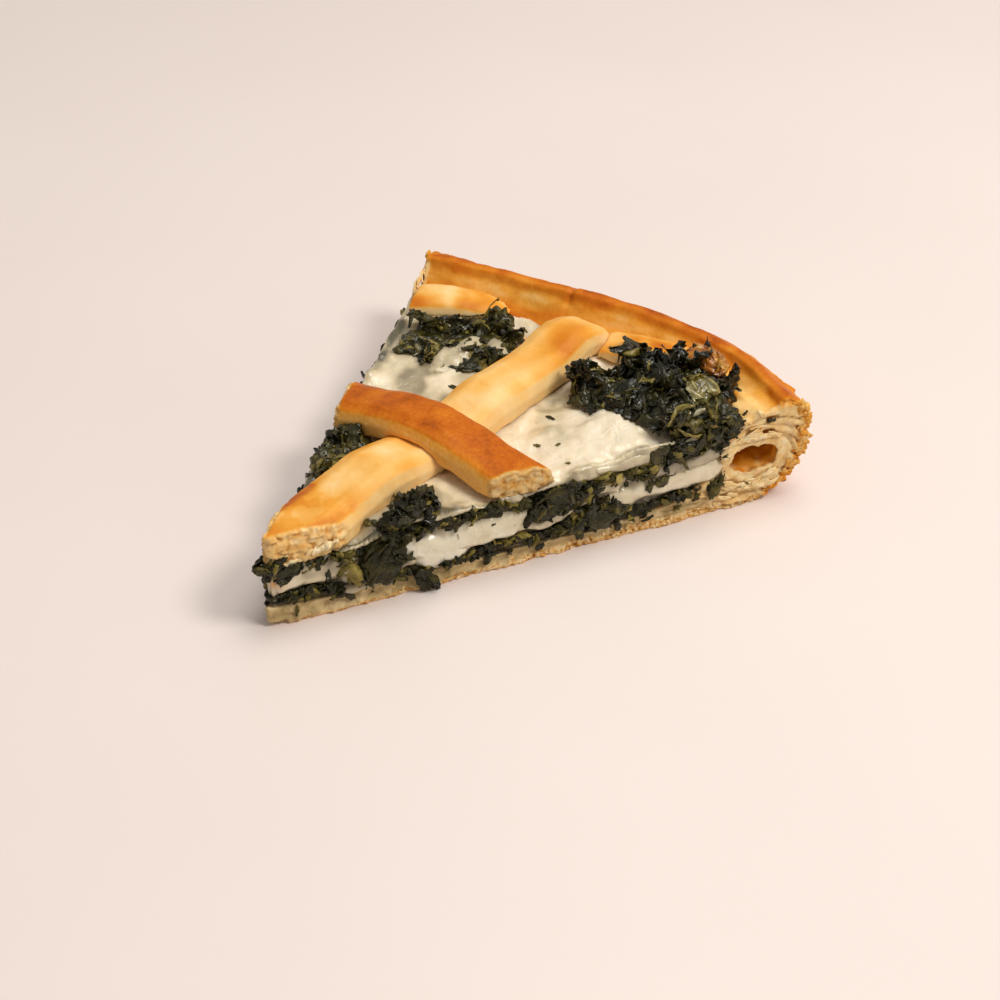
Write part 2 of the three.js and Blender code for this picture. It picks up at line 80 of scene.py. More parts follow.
def fine_copy(name, node, grain, rounding):
    """A copy of a solid of the model as one skin of small, even faces."""
    piece = bpy.data.objects.new(name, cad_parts[node].data.copy())
    piece.data.name = name
    piece.data.materials.clear()
    bpy.context.scene.collection.objects.link(piece)
    edit(piece, bpy.ops.mesh.remove_doubles, threshold=1e-6)
    modify(piece, "REMESH", mode="VOXEL", voxel_size=grain)
    modify(piece, "SMOOTH", factor=0.5, iterations=rounding)
    bpy.ops.object.shade_smooth()
    return piece


def values_of(items, name, width=1, kind=float):
    """A value, or a row of that width, for each item of a mesh."""
    values = np.empty(len(items) * width, kind)
    items.foreach_get(name, values)
    return values.reshape(-1, width) if width > 1 else values


def read_skin(piece):
    """The points in millimetres from the slice's tip, and the normals there."""
    points = values_of(piece.data.vertices, "co", 3)
    return (points - TIP) * 1000, values_of(piece.data.vertex_normals, "vector", 3)


def write_skin(piece, points):
    """Moves the points of a piece to these places, in millimetres from the slice's tip."""
    piece.data.vertices.foreach_set("co", (points / 1000 + TIP).ravel())
    piece.data.update()


def paint(piece, **layers):
    """Stores values for each point that the finishes read."""
    for name, values in layers.items():
        layer = piece.data.attributes.new(name, "FLOAT", "POINT")
        layer.data.foreach_set("value", np.clip(values, 0, 1).astype(np.float32))


def ramp(low, high, values):
    """0 below low, 1 above high, and smooth between them; it falls where low is the larger."""
    share = np.clip((values - low) / (high - low), 0, 1)
    return share * share * (3 - 2 * share)


def patch(values, centre, spread):
    """1 at the centre, and soft to 0 around it."""
    return np.exp(-(((values - centre) / spread) ** 2))


def uneven(points, size, seed, octaves=1):
    """Soft random values, about -1 to 1, with waves of that size in millimetres."""
    total = np.zeros(len(points))
    for octave in range(octaves):
        places = points / size * 2**octave + seed * 13.7
        cell = np.floor(places).astype(np.int64)
        inside = places - cell
        inside = inside * inside * (3 - 2 * inside)
        for corner in np.ndindex(2, 2, 2):
            key = (cell + corner) @ np.array([73856093, 19349663, 83492791])
            key = (key ^ (key >> 13)) * 1274126177 % 4294967296
            key = (key ^ (key >> 16)) * 668265263 % 4294967296
            weight = np.prod(np.where(corner, inside, 1 - inside), axis=1)
            total += weight * ((key >> 8) % 65536 / 32768 - 1) / 2**octave * 1.4
    return total


def from_cuts(points):
    """Distances in millimetres behind the front cut and behind the back cut."""
    x, y = points[:, 0], points[:, 1]
    return x * SINE + y * COSINE, x * SINE - y * COSINE


def from_crest(points):
    """How far points lie out from the rim's crest and how far above it, and their share of the
    way from the front cut to the back one."""
    radius = np.hypot(points[:, 0], points[:, 1])
    share = np.arctan2(points[:, 1], points[:, 0]) / (2 * HALF_ANGLE) + 0.5
    crest = CREST_RADIUS - 8.4 * ramp(0.15, 0.75, share) + 3.2 * ramp(0.85, 1.02, share)
    return radius - crest, points[:, 2] - (CREST_HEIGHT - 2 * share), share


def from_blister(along, height, blister):
    """How far places are from a blister's middle: 1 at its wall."""
    middle, level, long, tall = blister
    return np.hypot((along - middle) / long, (height - level) / tall)


def case_fields(points):
    """Masks of the rim, its outer wall and where the layers of dough turn up; how far points lie
    along the cut and from the blister's middle; the layer of dough they are in; and crumbs."""
    x, y, z = points.T
    radius = np.hypot(x, y)
    front, back = from_cuts(points)
    out, above, _ = from_crest(points)
    in_rim = ramp(106, 116, radius)
    wall = ramp(-1, 2, out) * ramp(1.0, 3.5, z) * ramp(-1.5, -5, above)
    curl = ramp(108, 117, radius) * ramp(3.5, 7.5, z)
    along = np.where(front < back, x * COSINE - y * SINE, radius)
    blister = from_blister(along, z, BLISTER)
    ply = (1 - curl) * z + curl * (4.6 * (blister - 1) + 0.5 * uneven(points, 5, 8))
    return in_rim, wall, curl, along, blister, ply, uneven(points, 1.3, 2, 2)


def thin_out(piece, hidden, keep):
    """Joins the small faces where `hidden` is 1 until this share of all faces is left."""
    group = piece.vertex_groups.new(name="hidden")
    for weight in (0.0, 1.0):
        chosen = np.flatnonzero((hidden > 0.5) == (weight > 0.5))
        group.add(chosen.tolist(), weight, "REPLACE")
    modify(piece, "DECIMATE", ratio=keep, vertex_group="hidden", vertex_group_factor=1000)
    piece.vertex_groups.clear()


crust = fine_copy("crust_case", "pastry_case", CRUST_GRAIN, 3)
points, normals = read_skin(crust)
z, radius = points[:, 2], np.hypot(points[:, 0], points[:, 1])
front, back = from_cuts(points)
nearest = np.minimum(front, back)
out, above, share = from_crest(points)
in_rim, wall, curl, along, blister, ply, crumbs = case_fields(points)
# Slits between the layers of dough and crumbs on the cut faces, and an uneven blister
turn = np.arctan2((z - BLISTER[1]) * 1.7, along - BLISTER[0])
cut_face = ramp(1.3, 0.4, nearest) * ramp(0.2, 1.0, z) * ramp(0.5, 1.0, np.hypot(blister, 0.2))
wound = (1 - curl) * along / 9 + curl * turn * 2.2
slits = ramp(0.5, 0.05, np.abs(uneven(np.stack([ply, wound, nearest / 2.5], 1), 1.4, 1)))
torn = (0.3 + 0.7 * in_rim * ramp(24, 12, front)) * cut_face
torn *= 0.35 + 0.65 * ramp(1.2, 1.8, blister) + 0.65 * (1 - in_rim)
depth = torn * (0.1 - 0.9 * slits) + 0.08 * cut_face * crumbs
bulge = ramp(1.8, 1.1, blister) * in_rim * ramp(0.4, 1.0, nearest)
depth += bulge * 1.3 * uneven(points, 4.2, 14, 2)
# The lumpy outer wall, coarsest near the cuts, and the smoother skin elsewhere
lumps = np.abs(uneven(points, 3.6, 3, 2)) - 0.2 + 0.7 * np.abs(uneven(points, 1.7, 9, 2))
depth += wall * (0.3 + 0.7 * ramp(20, 4, nearest)) * lumps
depth += (1 - cut_face) * (1 - wall) * (0.2 * uneven(points, 6, 4, 2) + 0.03 * crumbs)
notch = patch(share, 0.62, 0.007) * ramp(-6, -1, out) * ramp(-6, -2, above)
depth -= 0.8 * notch
# The ragged foot of the cuts, the rough underside, and the flap folded in over the filling
ragged = ramp(2.2, 0.7, nearest) * ramp(2.6, 1.0, z)
tatters = (0.25 + 0.3 * in_rim) * uneven(points * [1, 1, 1.8], 2.6, 5, 2)
depth += ragged * (0.35 + tatters + 0.2 * crumbs)
sole = ramp(0.6, 0.1, z) * ramp(1.5, 4, nearest)
depth += sole * 0.3 * (np.abs(uneven(points, 2.4, 10, 2)) - 0.4)
flap = ramp(26, 18, front) * ramp(-14, -11, out) * ramp(-5.5, -8, out) * ramp(-13, -9, above)
depth += flap * ramp(0.2, 0.6, normals[:, 2]) * (1.6 + 0.5 * uneven(points, 4, 13, 2))
depth *= ramp(0, 6, radius)
points = points + normals * depth[:, None]
# The blister's edge, pulled out of round
pull = uneven(np.stack([2.2 * np.cos(turn), 2.2 * np.sin(turn), nearest / 3], 1), 1, 15, 2)
pull *= 0.8 * patch(blister, 1.05, 0.3) * ramp(4, 1.5, nearest) * ramp(12, 8, front)
points[:, 0] += pull * np.cos(turn) * COSINE
points[:, 1] -= pull * np.cos(turn) * SINE
points[:, 2] = np.maximum(points[:, 2] + pull * np.sin(turn), 0)
write_skin(crust, points)
z = points[:, 2]
under_filling = ramp(3.5, 4.5, nearest) * ramp(1.5, 3, z) * (z < 19)
under_filling *= np.hypot(points[:, 0], points[:, 1]) < 117
thin_out(crust, np.maximum(under_filling, (z < 0.9) & (nearest > 2)), 0.62)

points, normals = read_skin(crust)
z, radius = points[:, 2], np.hypot(points[:, 0], points[:, 1])
front, back = from_cuts(points)
nearest = np.minimum(front, back)
out, above, share = from_crest(points)
in_rim, wall, curl, along, blister, ply, crumbs = case_fields(points)
cut_face = ramp(1.6, 0.7, nearest) * ramp(0.2, 1.0, z)
# The blister's hollow: its colour is partly its own golden bake and partly painted shade of the
# recess
hollow = ramp(1.2, 0.95, blister) * ramp(0.3, 1.5, nearest) * ramp(19, 15, front)
small_hollow = 0.5 * ramp(1.2, 0.9, from_blister(along, z, SMALL_BLISTER))
hollow = np.maximum(hollow, small_hollow * ramp(0.4, 1.6, nearest) * ramp(8, 6, front))
# How far it is baked: most on the crest and the outer wall, with golden patches inside the rim
baked = 0.36 + 0.06 * uneven(points, 9, 6) + 0.05 * uneven(points * [1, 1, 3], 3, 11)
line = out + 0.8 * uneven(points, 5, 7)
baked += 0.2 * ramp(-4.4, -1.6, line) * ramp(-4.2, -1.4, above)
baked += 0.1 * ramp(-1.2, 0.6, line) * ramp(-3.2, -0.6, above) + 0.05
inside_rim = 0.15 * ramp(-3.5, -6.0, above) * ramp(-4, -6.5, out) * ramp(-13, -9, out)
baked += inside_rim * ramp(0.1, 0.3, share)
baked -= 0.15 * ramp(0.22, 0.1, share) * ramp(-4, -7, out)
golden = 0.3 * ramp(0.2, 0.1, share) * ramp(-7, -9, out)
baked += golden * ramp(0.1, 0.6, uneven(points, 3.2, 12))
baked += wall * (0.03 + 0.07 * uneven(points, 3.6, 3, 2) - 0.08 * crumbs)
baked = np.where(z < 8, np.minimum(baked, 0.5), baked)
# Cut faces are pale inside and baked along the outline, which is found step by step upwards
STEPS_PER_MM, STEPS = 2, 80
step = np.clip((z * STEPS_PER_MM).astype(int), 0, STEPS - 1)
skin = np.where(along > 127, -above, 9)
rim_edge = {}
for side, behind in ((-1, front), (1, back)):
    farthest = np.zeros(STEPS)
    np.maximum.at(farthest, step, np.where(behind < 1.2, along, 0))
    rim_edge[side] = farthest
    skin = np.where(behind == nearest, np.minimum(skin, farthest[step] - along), skin)
baked = baked * (1 - cut_face) + cut_face * (0.14 + 0.1 * crumbs)
baked += cut_face * in_rim * 0.38 * ramp(3.8, 1.0, skin + 1.2 * crumbs)
rise = 0.3 + 0.9 * ramp(20, 90, radius) * ramp(132, 126, radius)
rise = np.where(front < back, rise, 0.7)
bottom = ramp(1.25, 0.45, (z + 0.4 * crumbs) / rise) * (0.35 + 0.65 * ramp(10, 50, radius))
baked = np.maximum(baked, bottom * (0.58 + 0.14 * crumbs))
soaked = cut_face * ramp(122, 108, radius) * ramp(5.6, 4.6, z)
scorch = ramp(1.6, 0.9, (z + 0.5 * crumbs) / (rise + 0.5)) * ramp(1.2, 0.8, nearest)
paint(crust, baked=baked, crumb=cut_face, hollow=hollow, soaked=soaked)
paint(crust, scorch=scorch, ply=ply / 30 + 0.3)


def srgb(red, green, blue):
    """A colour as a camera gives it, 0 to 255, as the linear values that a shader takes."""
    values = [channel / 255 for channel in (red, green, blue)]
    return *(v / 12.92 if v < 0.04045 else ((v + 0.055) / 1.055) ** 2.4 for v in values), 1


class Wiring:
    """The nodes of a material or a group; what adds a node gives back one of its outputs."""

    def __init__(self, tree):
        self.tree = tree

    def put(self, sockets, values):
        """Joins sockets to other nodes' outputs, or sets them, from {socket: value}."""
        for name, value in values.items():
            if isinstance(value, bpy.types.NodeSocket):
                self.tree.links.new(value, sockets[name])
            else:
                sockets[name].default_value = value

    def add(self, kind, output, values, **settings):
        node = self.tree.nodes.new("ShaderNode" + kind)
        for name, setting in settings.items():
            setattr(node, name, setting)
        self.put(node.inputs, values)
        return node.outputs[output]

    def place(self):
        return self.add("TexCoord", "Object", {})

    def layer(self, name):
        """The values that were painted on the piece under this name."""
        return self.add("Attribute", "Fac", {}, attribute_name=name)

    def noise(self, vector, scale, detail=3, distortion=0.0, **others):
        values = {"Vector": vector, "Scale": scale, "Detail": detail, "Distortion": distortion}
        values.update(others)
        return self.add("TexNoise", "Fac", values, noise_dimensions="4D" if others else "3D")

    def maths(self, kind, *values, use_clamp=False):
        return self.add("Math", 0, dict(enumerate(values)), operation=kind, use_clamp=use_clamp)

    def scale(self, value, factor, base):
        """value * factor + base"""
        return self.maths("MULTIPLY_ADD", value, factor, base)

    def mix(self, factor, first, second):
        values = {"Factor": factor, "A": first, "B": second}
        return self.add("Mix", "Result", values, data_type="RGBA")

    def bump(self, height, strength, distance):
        values = {"Height": height, "Strength": strength, "Distance": distance}
        return self.add("Bump", "Normal", values)

    def colours(self, value, steps):
        """A ramp of camera colours: {place: (red, green, blue)}."""
        colour = self.add("ValToRGB", "Color", {"Fac": value})
        elements = colour.node.color_ramp.elements
        while len(elements) < len(steps):
            elements.new(0.5)
        for element, place in zip(elements, sorted(steps)):
            element.position = place
            element.color = srgb(*steps[place])
        return colour

    def shader(self, values):
        self.put(self.tree.nodes["Principled BSDF"].inputs, values)


def new_material(name):
    material = bpy.data.materials.new(name)
    material.use_nodes = True
    return material, Wiring(material.node_tree)


def new_group(name, inputs):
    """A shader node group: its wiring, its inputs from {name: default}, and its three outputs."""
    group = bpy.data.node_groups.new(name, "ShaderNodeTree")
    for label, default in inputs.items():
        socket = group.interface.new_socket(
            name=label, in_out="INPUT", socket_type="NodeSocketFloat"
        )
        socket.default_value = default
    for label, kind in (("Color", "Color"), ("Roughness", "Float"), ("Height", "Float")):
        group.interface.new_socket(name=label, in_out="OUTPUT", socket_type="NodeSocket" + kind)
    given = group.nodes.new("NodeGroupInput").outputs
    return group, Wiring(group), given, group.nodes.new("NodeGroupOutput").inputs


def subsurface(weight, radius, depth):
    """Light that soaks in a little, with how far it gets in each colour."""
    return {
        "Subsurface Weight": weight,
        "Subsurface Radius": radius,
        "Subsurface Scale": depth,
    }


# Baked dough goes from cream to dark brown with "Baked", in blotches and speckles; where it is
# torn ("Crumb") it is paler, with the sheets it is layered in ("Ply").
inputs = {"Baked": 0.4, "Crumb": 0.0, "Ply": 0.3, "Blotch": 0.3, "Speckle": 0.2}
BAKED_DOUGH, w, given, gives = new_group("baked_dough", inputs)
place = w.place()
blotches = w.noise(place, 160, 4, 0.6)
speckles = w.noise(place, 1100, 4, 0.3)
pores = w.noise(place, 700, 6, 0.8)
sheet = w.noise(place, 110, 2, W=w.maths("MULTIPLY", given["Ply"], 55.0))
sheet = w.maths("MULTIPLY", w.scale(sheet, 0.45, -0.2), given["Crumb"])
swing = w.scale(blotches, given["Blotch"], given["Baked"])
swing = w.scale(given["Blotch"], -0.5, swing)
swing = w.scale(speckles, given["Speckle"], swing)
swing = w.maths("ADD", w.scale(given["Speckle"], -0.5, swing), sheet)
skin_colours = {
    0.0: (240, 222, 186),
    0.12: (246, 216, 160),
    0.28: (242, 189, 107),
    0.42: (231, 159, 58),
    0.56: (213, 126, 28),
    0.7: (192, 97, 17),
    0.85: (134, 62, 14),
    1.0: (72, 36, 14),
}
crumb_colours = {
    0.22: (192, 142, 76),
    0.4: (232, 188, 120),
    0.56: (246, 212, 152),
    0.75: (254, 234, 190),
}
torn = w.scale(blotches, 0.45, w.scale(pores, 0.55, sheet))
torn = w.maths("ADD", w.scale(given["Baked"], -0.6, torn), 0.08)
pale = w.maths("MULTIPLY", w.scale(given["Baked"], -2.6, 1.35), given["Crumb"], use_clamp=True)
colour = w.mix(pale, w.colours(swing, skin_colours), w.colours(torn, crumb_colours))
rough = w.scale(given["Crumb"], 0.25, w.scale(swing, -0.25, 0.62))
relief = w.maths("MULTIPLY", pores, w.scale(given["Crumb"], 0.7, 0.35))
relief = w.scale(sheet, 5.0, w.scale(speckles, 0.35, relief))
w.put(gives, {"Color": colour, "Roughness": rough, "Height": relief})


def dough_material(name, blotch, speckle, bump=0.35):
    """Baked dough that reads how far it is baked, and where it is torn, from the piece."""
    material, w = new_material(name)
    values = {"Blotch": blotch, "Speckle": speckle}
    for socket in ("Baked", "Crumb", "Ply"):
        values[socket] = w.layer(socket.lower())
    dough = w.add("Group", "Color", values, node_tree=BAKED_DOUGH).node.outputs
    w.shader(
        {
            "Base Color": dough["Color"],
            "Normal": w.bump(dough["Height"], bump, 0.0005),
            "Roughness": dough["Roughness"],
            "Specular IOR Level": 0.12,
            **subsurface(0.12, (0.9, 0.5, 0.25), 0.0018),
        }
    )
    return material, w, dough["Color"]


def finish(piece, material, slot, *nodes):
    """Gives a piece its material and its place in the model."""
    piece.data.materials.append(material)
    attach(piece, "root")
    if nodes:
        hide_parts(*nodes)


soaked_colours = {0.3: (168, 142, 94), 0.5: (208, 180, 128), 0.7: (236, 210, 160)}
grit_colours = {
    0.32: (150, 94, 36),
    0.45: (220, 164, 88),
    0.55: (246, 204, 138),
    0.68: (254, 234, 190),
}
material, w, colour = dough_material("crust_of_case", 0.2, 0.14)
# Inside the blister: a deep golden that is both the baked colour and painted shade of the hollow
colour = w.mix(w.layer("hollow"), colour, srgb(206, 132, 22))
wet = w.colours(w.noise(w.place(), 260, 4, 0.8), soaked_colours)
colour = w.mix(w.layer("soaked"), colour, wet)
grit = w.colours(w.noise(w.place(), 900, 5, 0.8), grit_colours)
w.shader({"Base Color": w.mix(w.layer("scorch"), colour, grit)})
finish(crust, material, "crust", "pastry_case")

# The spinach: leaves and stems, chopped, cooked soft and dark, in two wet layers between the cheese
# and in heaps on top. Each layer or heap is a crumpled core with the pieces that show laid over it.


def crumpled(points, seed, size):
    """Wet folds, about -1 to 1: sharp ridges where leaves double over, and hollows between them."""
    bends = np.stack([uneven(points, size * 1.7, seed + axis) for axis in range(3)], 1)
    bent = points + 0.55 * size * bends
    ridges = np.abs(uneven(bent, size, seed + 5))
    return 0.8 - 1.3 * ridges - 0.5 * np.abs(uneven(bent, size * 0.45, seed + 6))


def spinach_core(name, node, grain, shrink, folds, seed, dark, stretch=(1, 1, 1)):
    """The mass under the pieces that show, crumpled all over, with painted shade: its tone is
    darker in the hollows between the folds and lighter on the ridges; `folds` are {size: relief}.
    """
    core = fine_copy(name, node, grain, 5)
    points, normals = read_skin(core)
    depth, tone = -shrink, dark
    for number, (size, relief) in enumerate(folds.items()):
        fold = crumpled(points / stretch, seed + 10 * number, size)
        depth = depth + relief * fold
        # Painted shade: the tone darkens into the hollows between the folds and lightens on the
        # ridges
        tone = tone + 0.12 * ramp(-0.4, 0.9, fold)
    write_skin(core, points + normals * depth[:, None])
    paint(core, tone=tone + 0.06 * uneven(points, 5, seed + 3))
    return core


def leaf_shape(seed, wide, sag, fold, crinkle, parts, thick):
    """One limp, torn piece about 1 long: its points and faces, centred on the origin."""
    bpy.ops.mesh.primitive_grid_add(x_subdivisions=parts[0], y_subdivisions=parts[1], size=1)
    piece = bpy.context.object
    mesh = piece.data
    u, v = values_of(mesh.vertices, "co", 3)[:, :2].T
    torn = 0.17 * uneven(np.stack([u, v, 0 * u], 1), 0.5, seed, 2)
    taper = 1 - 0.5 * ramp(0.1, 0.55, np.abs(u + 0.12 * math.sin(seed)))
    v = v * wide * taper * (1 + torn) + 0.3 * math.sin(seed * 2.1) * (u * u - 0.1)
    u = u * (1 + torn)
    flat = np.stack([u, v, 0 * u], 1)
    lift = -sag * (0.8 * u * u + 1.6 * v * v) - fold * np.abs(v - 0.12 * math.sin(seed * 1.7))
    lift += crinkle * crumpled(flat, seed + 20, 0.5)
    lift += 0.8 * crinkle * np.sin(24 * v + 5 * u + 2 * uneven(flat, 0.6, seed + 30) + seed)
    mesh.vertices.foreach_set("co", np.stack([u, v, lift - lift.mean()], 1).ravel())
    mesh.update()
    modify(piece, "SOLIDIFY", thickness=thick, offset=0)
    points = values_of(mesh.vertices, "co", 3)
    faces = np.array([face.vertices[:] for face in mesh.polygons if len(face.vertices) == 4])
    bpy.data.objects.remove(piece)
    return points, faces


def spots_on(piece, count, wanted, seed):
    """Random places on a piece, in millimetres, with the normal there; `wanted` weighs them."""
    draw = np.random.default_rng(seed)
    piece.data.calc_loop_triangles()
    triangles = piece.data.loop_triangles
    corners = values_of(triangles, "vertices", 3, np.int32)
    points, normals = read_skin(piece)
    wanted = np.clip(wanted(points[corners].mean(1), normals[corners].mean(1)), 0, None)
    weights = values_of(triangles, "area") * wanted
    chosen = corners[draw.choice(len(weights), count, p=weights / weights.sum())]
    mix = draw.dirichlet((1, 1, 1), count)[:, :, None]
    normal = (normals[chosen] * mix).sum(1)
    return (points[chosen] * mix).sum(1), normal / np.linalg.norm(normal, axis=1)[:, None]


def drape(points, bed, cling):
    """Pulls points towards the skin of `bed`, so that what lies there follows its folds."""
    skin, _ = read_skin(bed)
    tree = BVHTree.FromPolygons(skin.tolist(), [face.vertices[:] for face in bed.data.polygons])
    laid = points.copy()
    for index, point in enumerate(points):
        spot, normal, _, _ = tree.find_nearest(point)
        gap = sum((point[axis] - spot[axis]) * normal[axis] for axis in range(3))
        laid[index] = point - np.array(normal) * cling[index] * (gap - 0.25)
    return laid


def new_piece(name, points, faces):
    """A piece from points, in millimetres from the slice's tip, and faces."""
    mesh = bpy.data.meshes.new(name)
    mesh.from_pydata((points / 1000 + TIP).tolist(), [], faces.tolist())
    piece = bpy.data.objects.new(name, mesh)
    bpy.context.scene.collection.objects.link(piece)
    return piece


def unit(vectors):
    return vectors / np.linalg.norm(vectors, axis=1)[:, None]


def strew(name, shapes, places, outward, sizes, tones, seed, tilt, lift, **others):
    """Lays shapes over places, as one mesh: each is turned, tilted and stretched a little. The
    others are `ahead` and `stray`, the way they lie and how far they turn from it, and `bed` and
    `cling`, the piece they are pulled to and how closely."""
    draw = np.random.default_rng(seed)
    count = len(places)
    up = unit(outward + tilt * 0.6 * draw.normal(size=(count, 3)))
    ahead = draw.normal(size=(count, 3))
    if "ahead" in others:
        ahead = np.array(others["ahead"]) + others["stray"] * ahead
    ahead = unit(ahead - up * (ahead * up).sum(1)[:, None])
    turn = np.stack([ahead, np.cross(up, ahead), up], 2)
    kinds = draw.integers(len(shapes), size=count)
    stretch = 1 + 0.3 * draw.uniform(-1, 1, (count, 1, 3))
    hold = draw.uniform(*others.get("cling", (0, 1)), count)
    points, faces, shades, holds, first = [], [], [], [], 0
    for kind, (shape, quads) in enumerate(shapes):
        mine = np.flatnonzero(kinds == kind)
        if not len(mine):
            continue
        shaped = shape[None] * stretch[mine] * sizes[mine, None, None]
        laid = np.einsum("nij,nmj->nmi", turn[mine], shaped)
        laid += (places + outward * lift * sizes[:, None] * 0.5)[mine, None]
        points.append(laid.reshape(-1, 3))
        starts = first + np.arange(len(mine)) * len(shape)
        faces.append((quads[None] + starts[:, None, None]).reshape(-1, 4))
        shades.append(np.repeat(tones[mine], len(shape)))
        holds.append(np.repeat(hold[mine], len(shape)))
        first += len(mine) * len(shape)
    points = np.concatenate(points)
    if "bed" in others:
        points = drape(points, others["bed"], np.concatenate(holds))
    points[:, 2] = np.maximum(points[:, 2], 0.02)
    piece = new_piece(name, points, np.concatenate(faces))
    paint(piece, tone=np.concatenate(shades) + 0.1 * uneven(points, 1.6, seed))
    pick(piece)
    bpy.ops.object.shade_smooth()
    return piece


torn_leaves, small_leaves = [], []
for seed in range(1, 15):
    wide, sag = 0.5 + 0.08 * (seed % 4), 0.8 - 0.2 * (seed % 3)
    torn_leaves.append(leaf_shape(seed, wide, sag, 0.35 * (seed % 3), 0.055, (13, 9), 0.045))
for seed in range(41, 55):
    wide, sag = 0.45 + 0.08 * (seed % 4), 1.0 - 0.3 * (seed % 3)
    small_leaves.append(leaf_shape(seed, wide, sag, 0.5 * (seed % 3), 0.1, (8, 6), 0.07))
leaf_bits = [
    leaf_shape(seed, 0.35 + 0.09 * (seed % 4), 0.5, 0.4 * (seed % 2), 0.09, (6, 4), 0.12)
    for seed in range(21, 31)
]
stem_bits = [leaf_shape(seed, 0.1, 1.1, 0, 0.01, (9, 3), 0.08) for seed in range(31, 36)]

# A cooked leaf goes from near black to olive with "Tone"
COOKED_LEAF, w, given, gives = new_group("cooked_leaf", {"Tone": 0.2})
leaf_colours = {
    0.0: (5, 6, 1),
    0.2: (21, 21, 4),
    0.42: (62, 56, 14),
    0.66: (120, 105, 38),
    1.0: (172, 150, 84),
}
place = w.place()
stains = w.noise(place, 420, 3, 0.5)
tone = w.maths("SUBTRACT", w.scale(stains, 0.34, given["Tone"]), 0.12)
colour = w.colours(tone, leaf_colours)
wrinkles = w.noise(place, 750, 4, 1.6)
w.put(gives, {"Color": colour, "Roughness": w.scale(stains, 0.4, 0.06), "Height": wrinkles})


def leaf_material(name, gloss, coat):
    """A wet leaf, with how much it shines itself and how much the water on it does."""
    material, w = new_material(name)
    values = {"Tone": w.layer("tone")}
    leaf = w.add("Group", "Color", values, node_tree=COOKED_LEAF).node.outputs
    w.shader(
        {
            "Base Color": leaf["Color"],
            "Normal": w.bump(leaf["Height"], 0.7, 0.0009),
            "Roughness": leaf["Roughness"],
            "Specular IOR Level": gloss,
            "Specular Tint": (1.0, 0.9, 0.55, 1),
            "Coat Weight": coat,
            "Coat Roughness": 0.07,
            "Coat Normal": w.bump(leaf["Height"], 0.35, 0.0004),
        }
    )
    return material


wet_leaf = leaf_material("wet_spinach", 0.24, 0.6)
layer_leaf = leaf_material("pressed_spinach", 0.36, 0.16)


def tones_for(count, seed, dark, spread, olive_share):
    """Mostly dark leaf, with a share of olive pieces."""
    draw = np.random.default_rng(seed)
    olive = draw.random(count) < olive_share
    return np.where(olive, draw.uniform(0.4, 0.72, count), dark + spread * draw.random(count))


def on_cut(side, reach, height, out=0.0):
    """Places on a cut face, from how far they are from the tip, how high, and how far out of it;
    side is -1 at the front cut and 1 at the back one."""
    reach, height, out = np.broadcast_arrays(reach, height, out)
    x, y = reach * COSINE - out * SINE, side * (reach * SINE + out * COSINE)
    return np.stack([x, y, height * 1.0], -1)


def out_of_cut(side, count):
    return np.tile([-SINE, side * COSINE, 0], (count, 1))


def spots_along(side, line, spread, count, draw):
    """Random places on a cut face within `spread` of a line of (reach, height) points."""
    line = np.array(line, float)
    run = np.concatenate([[0], np.cumsum(np.hypot(*np.diff(line, axis=0).T))])
    at = draw.uniform(0, run[-1], count)
    angle, far = draw.uniform(0, 2 * math.pi, count), spread * np.sqrt(draw.random(count))
    reach = np.interp(at, run, line[:, 0]) + far * np.cos(angle)
    height = np.interp(at, run, line[:, 1]) + far * np.sin(angle)
    return on_cut(side, np.maximum(reach, 0.6), height, draw.uniform(0, 0.7, count))


PRESSED = {3.6: 0.8, 1.7: 0.32}
for node, seed in (("spinach_lower", 31), ("spinach_upper", 32)):
    core = spinach_core(node + "_core", node, 0.0005, 0.5, PRESSED, seed, 0.06, (1.5, 1.5, 0.8))
    thin_out(core, np.minimum(*from_cuts(read_skin(core)[0])) > 3.0, 0.45)
    finish(core, layer_leaf, "spinach", node)

# Leaves that show in the cuts: where each band runs, how far they spread from it, how many, how
# long, and how olive.
FRONT_BANDS = (
    (((3, 7.2), (11, 7.6), (19, 6.4)), 1.0, 34, (1.8, 3.4), 0.1),
    (((17, 5), (20, 4.4)), 0.8, 7, (2, 3), 0.1),
    (((28, 6.4), (36, 6.0)), 0.8, 12, (2.2, 3.6), 0.3),
    (((36, 6), (50, 6.2)), 0.4, 16, (1.5, 2.8), 0.25),
    (((50, 7.6), (57, 8.0), (67, 6.6)), 1.0, 34, (1.8, 3.6), 0.18),
    (((66, 6.4), (79, 7.2)), 1.1, 24, (2, 4), 0.16),
    (((77, 8.2), (83, 10.6), (88, 9.4)), 2.7, 56, (2.4, 4.8), 0.2),
    (((90, 8.6), (104, 7.6), (114, 8.6)), 0.8, 38, (1.6, 3.2), 0.2),
    (((22, 4.6), (60, 4.6), (112, 5.2)), 0.8, 40, (0.9, 2.2), 0.25),
    (((1.5, 16.6), (5, 17.8)), 1.8, 24, (2.2, 4.2), 0.05),
    (((7, 16.4), (16, 15.2)), 0.8, 15, (1.6, 3.2), 0.16),
    (((18, 16), (21, 12.5)), 1.5, 12, (2.6, 4.6), 0.45),
    (((30, 21), (36, 21.6)), 2.0, 26, (2.6, 5.2), 0.03),
    (((36, 24), (37, 28)), 1.6, 14, (2.6, 4.4), 0.1),
    (((36, 17), (44, 17.6), (58, 18.4), (66, 16.8)), 0.9, 52, (1.8, 3.8), 0.26),
    (((67, 13.6), (72, 16.4), (80, 17.8)), 2.9, 70, (3, 5.6), 0.1),
    (((82, 18.6), (91, 18)), 1.0, 18, (2.2, 4.4), 0.42),
    (((91, 17.8), (98, 19)), 1.6, 18, (2.5, 4.5), 0.4),
    (((101, 23), (104, 19.8), (110, 20.4), (116, 22), (118.5, 26)), 2.0, 34, (3.2, 6), 0.06),
    (((104, 25), (114, 26)), 2.6, 12, (3, 5), 0.05),
)
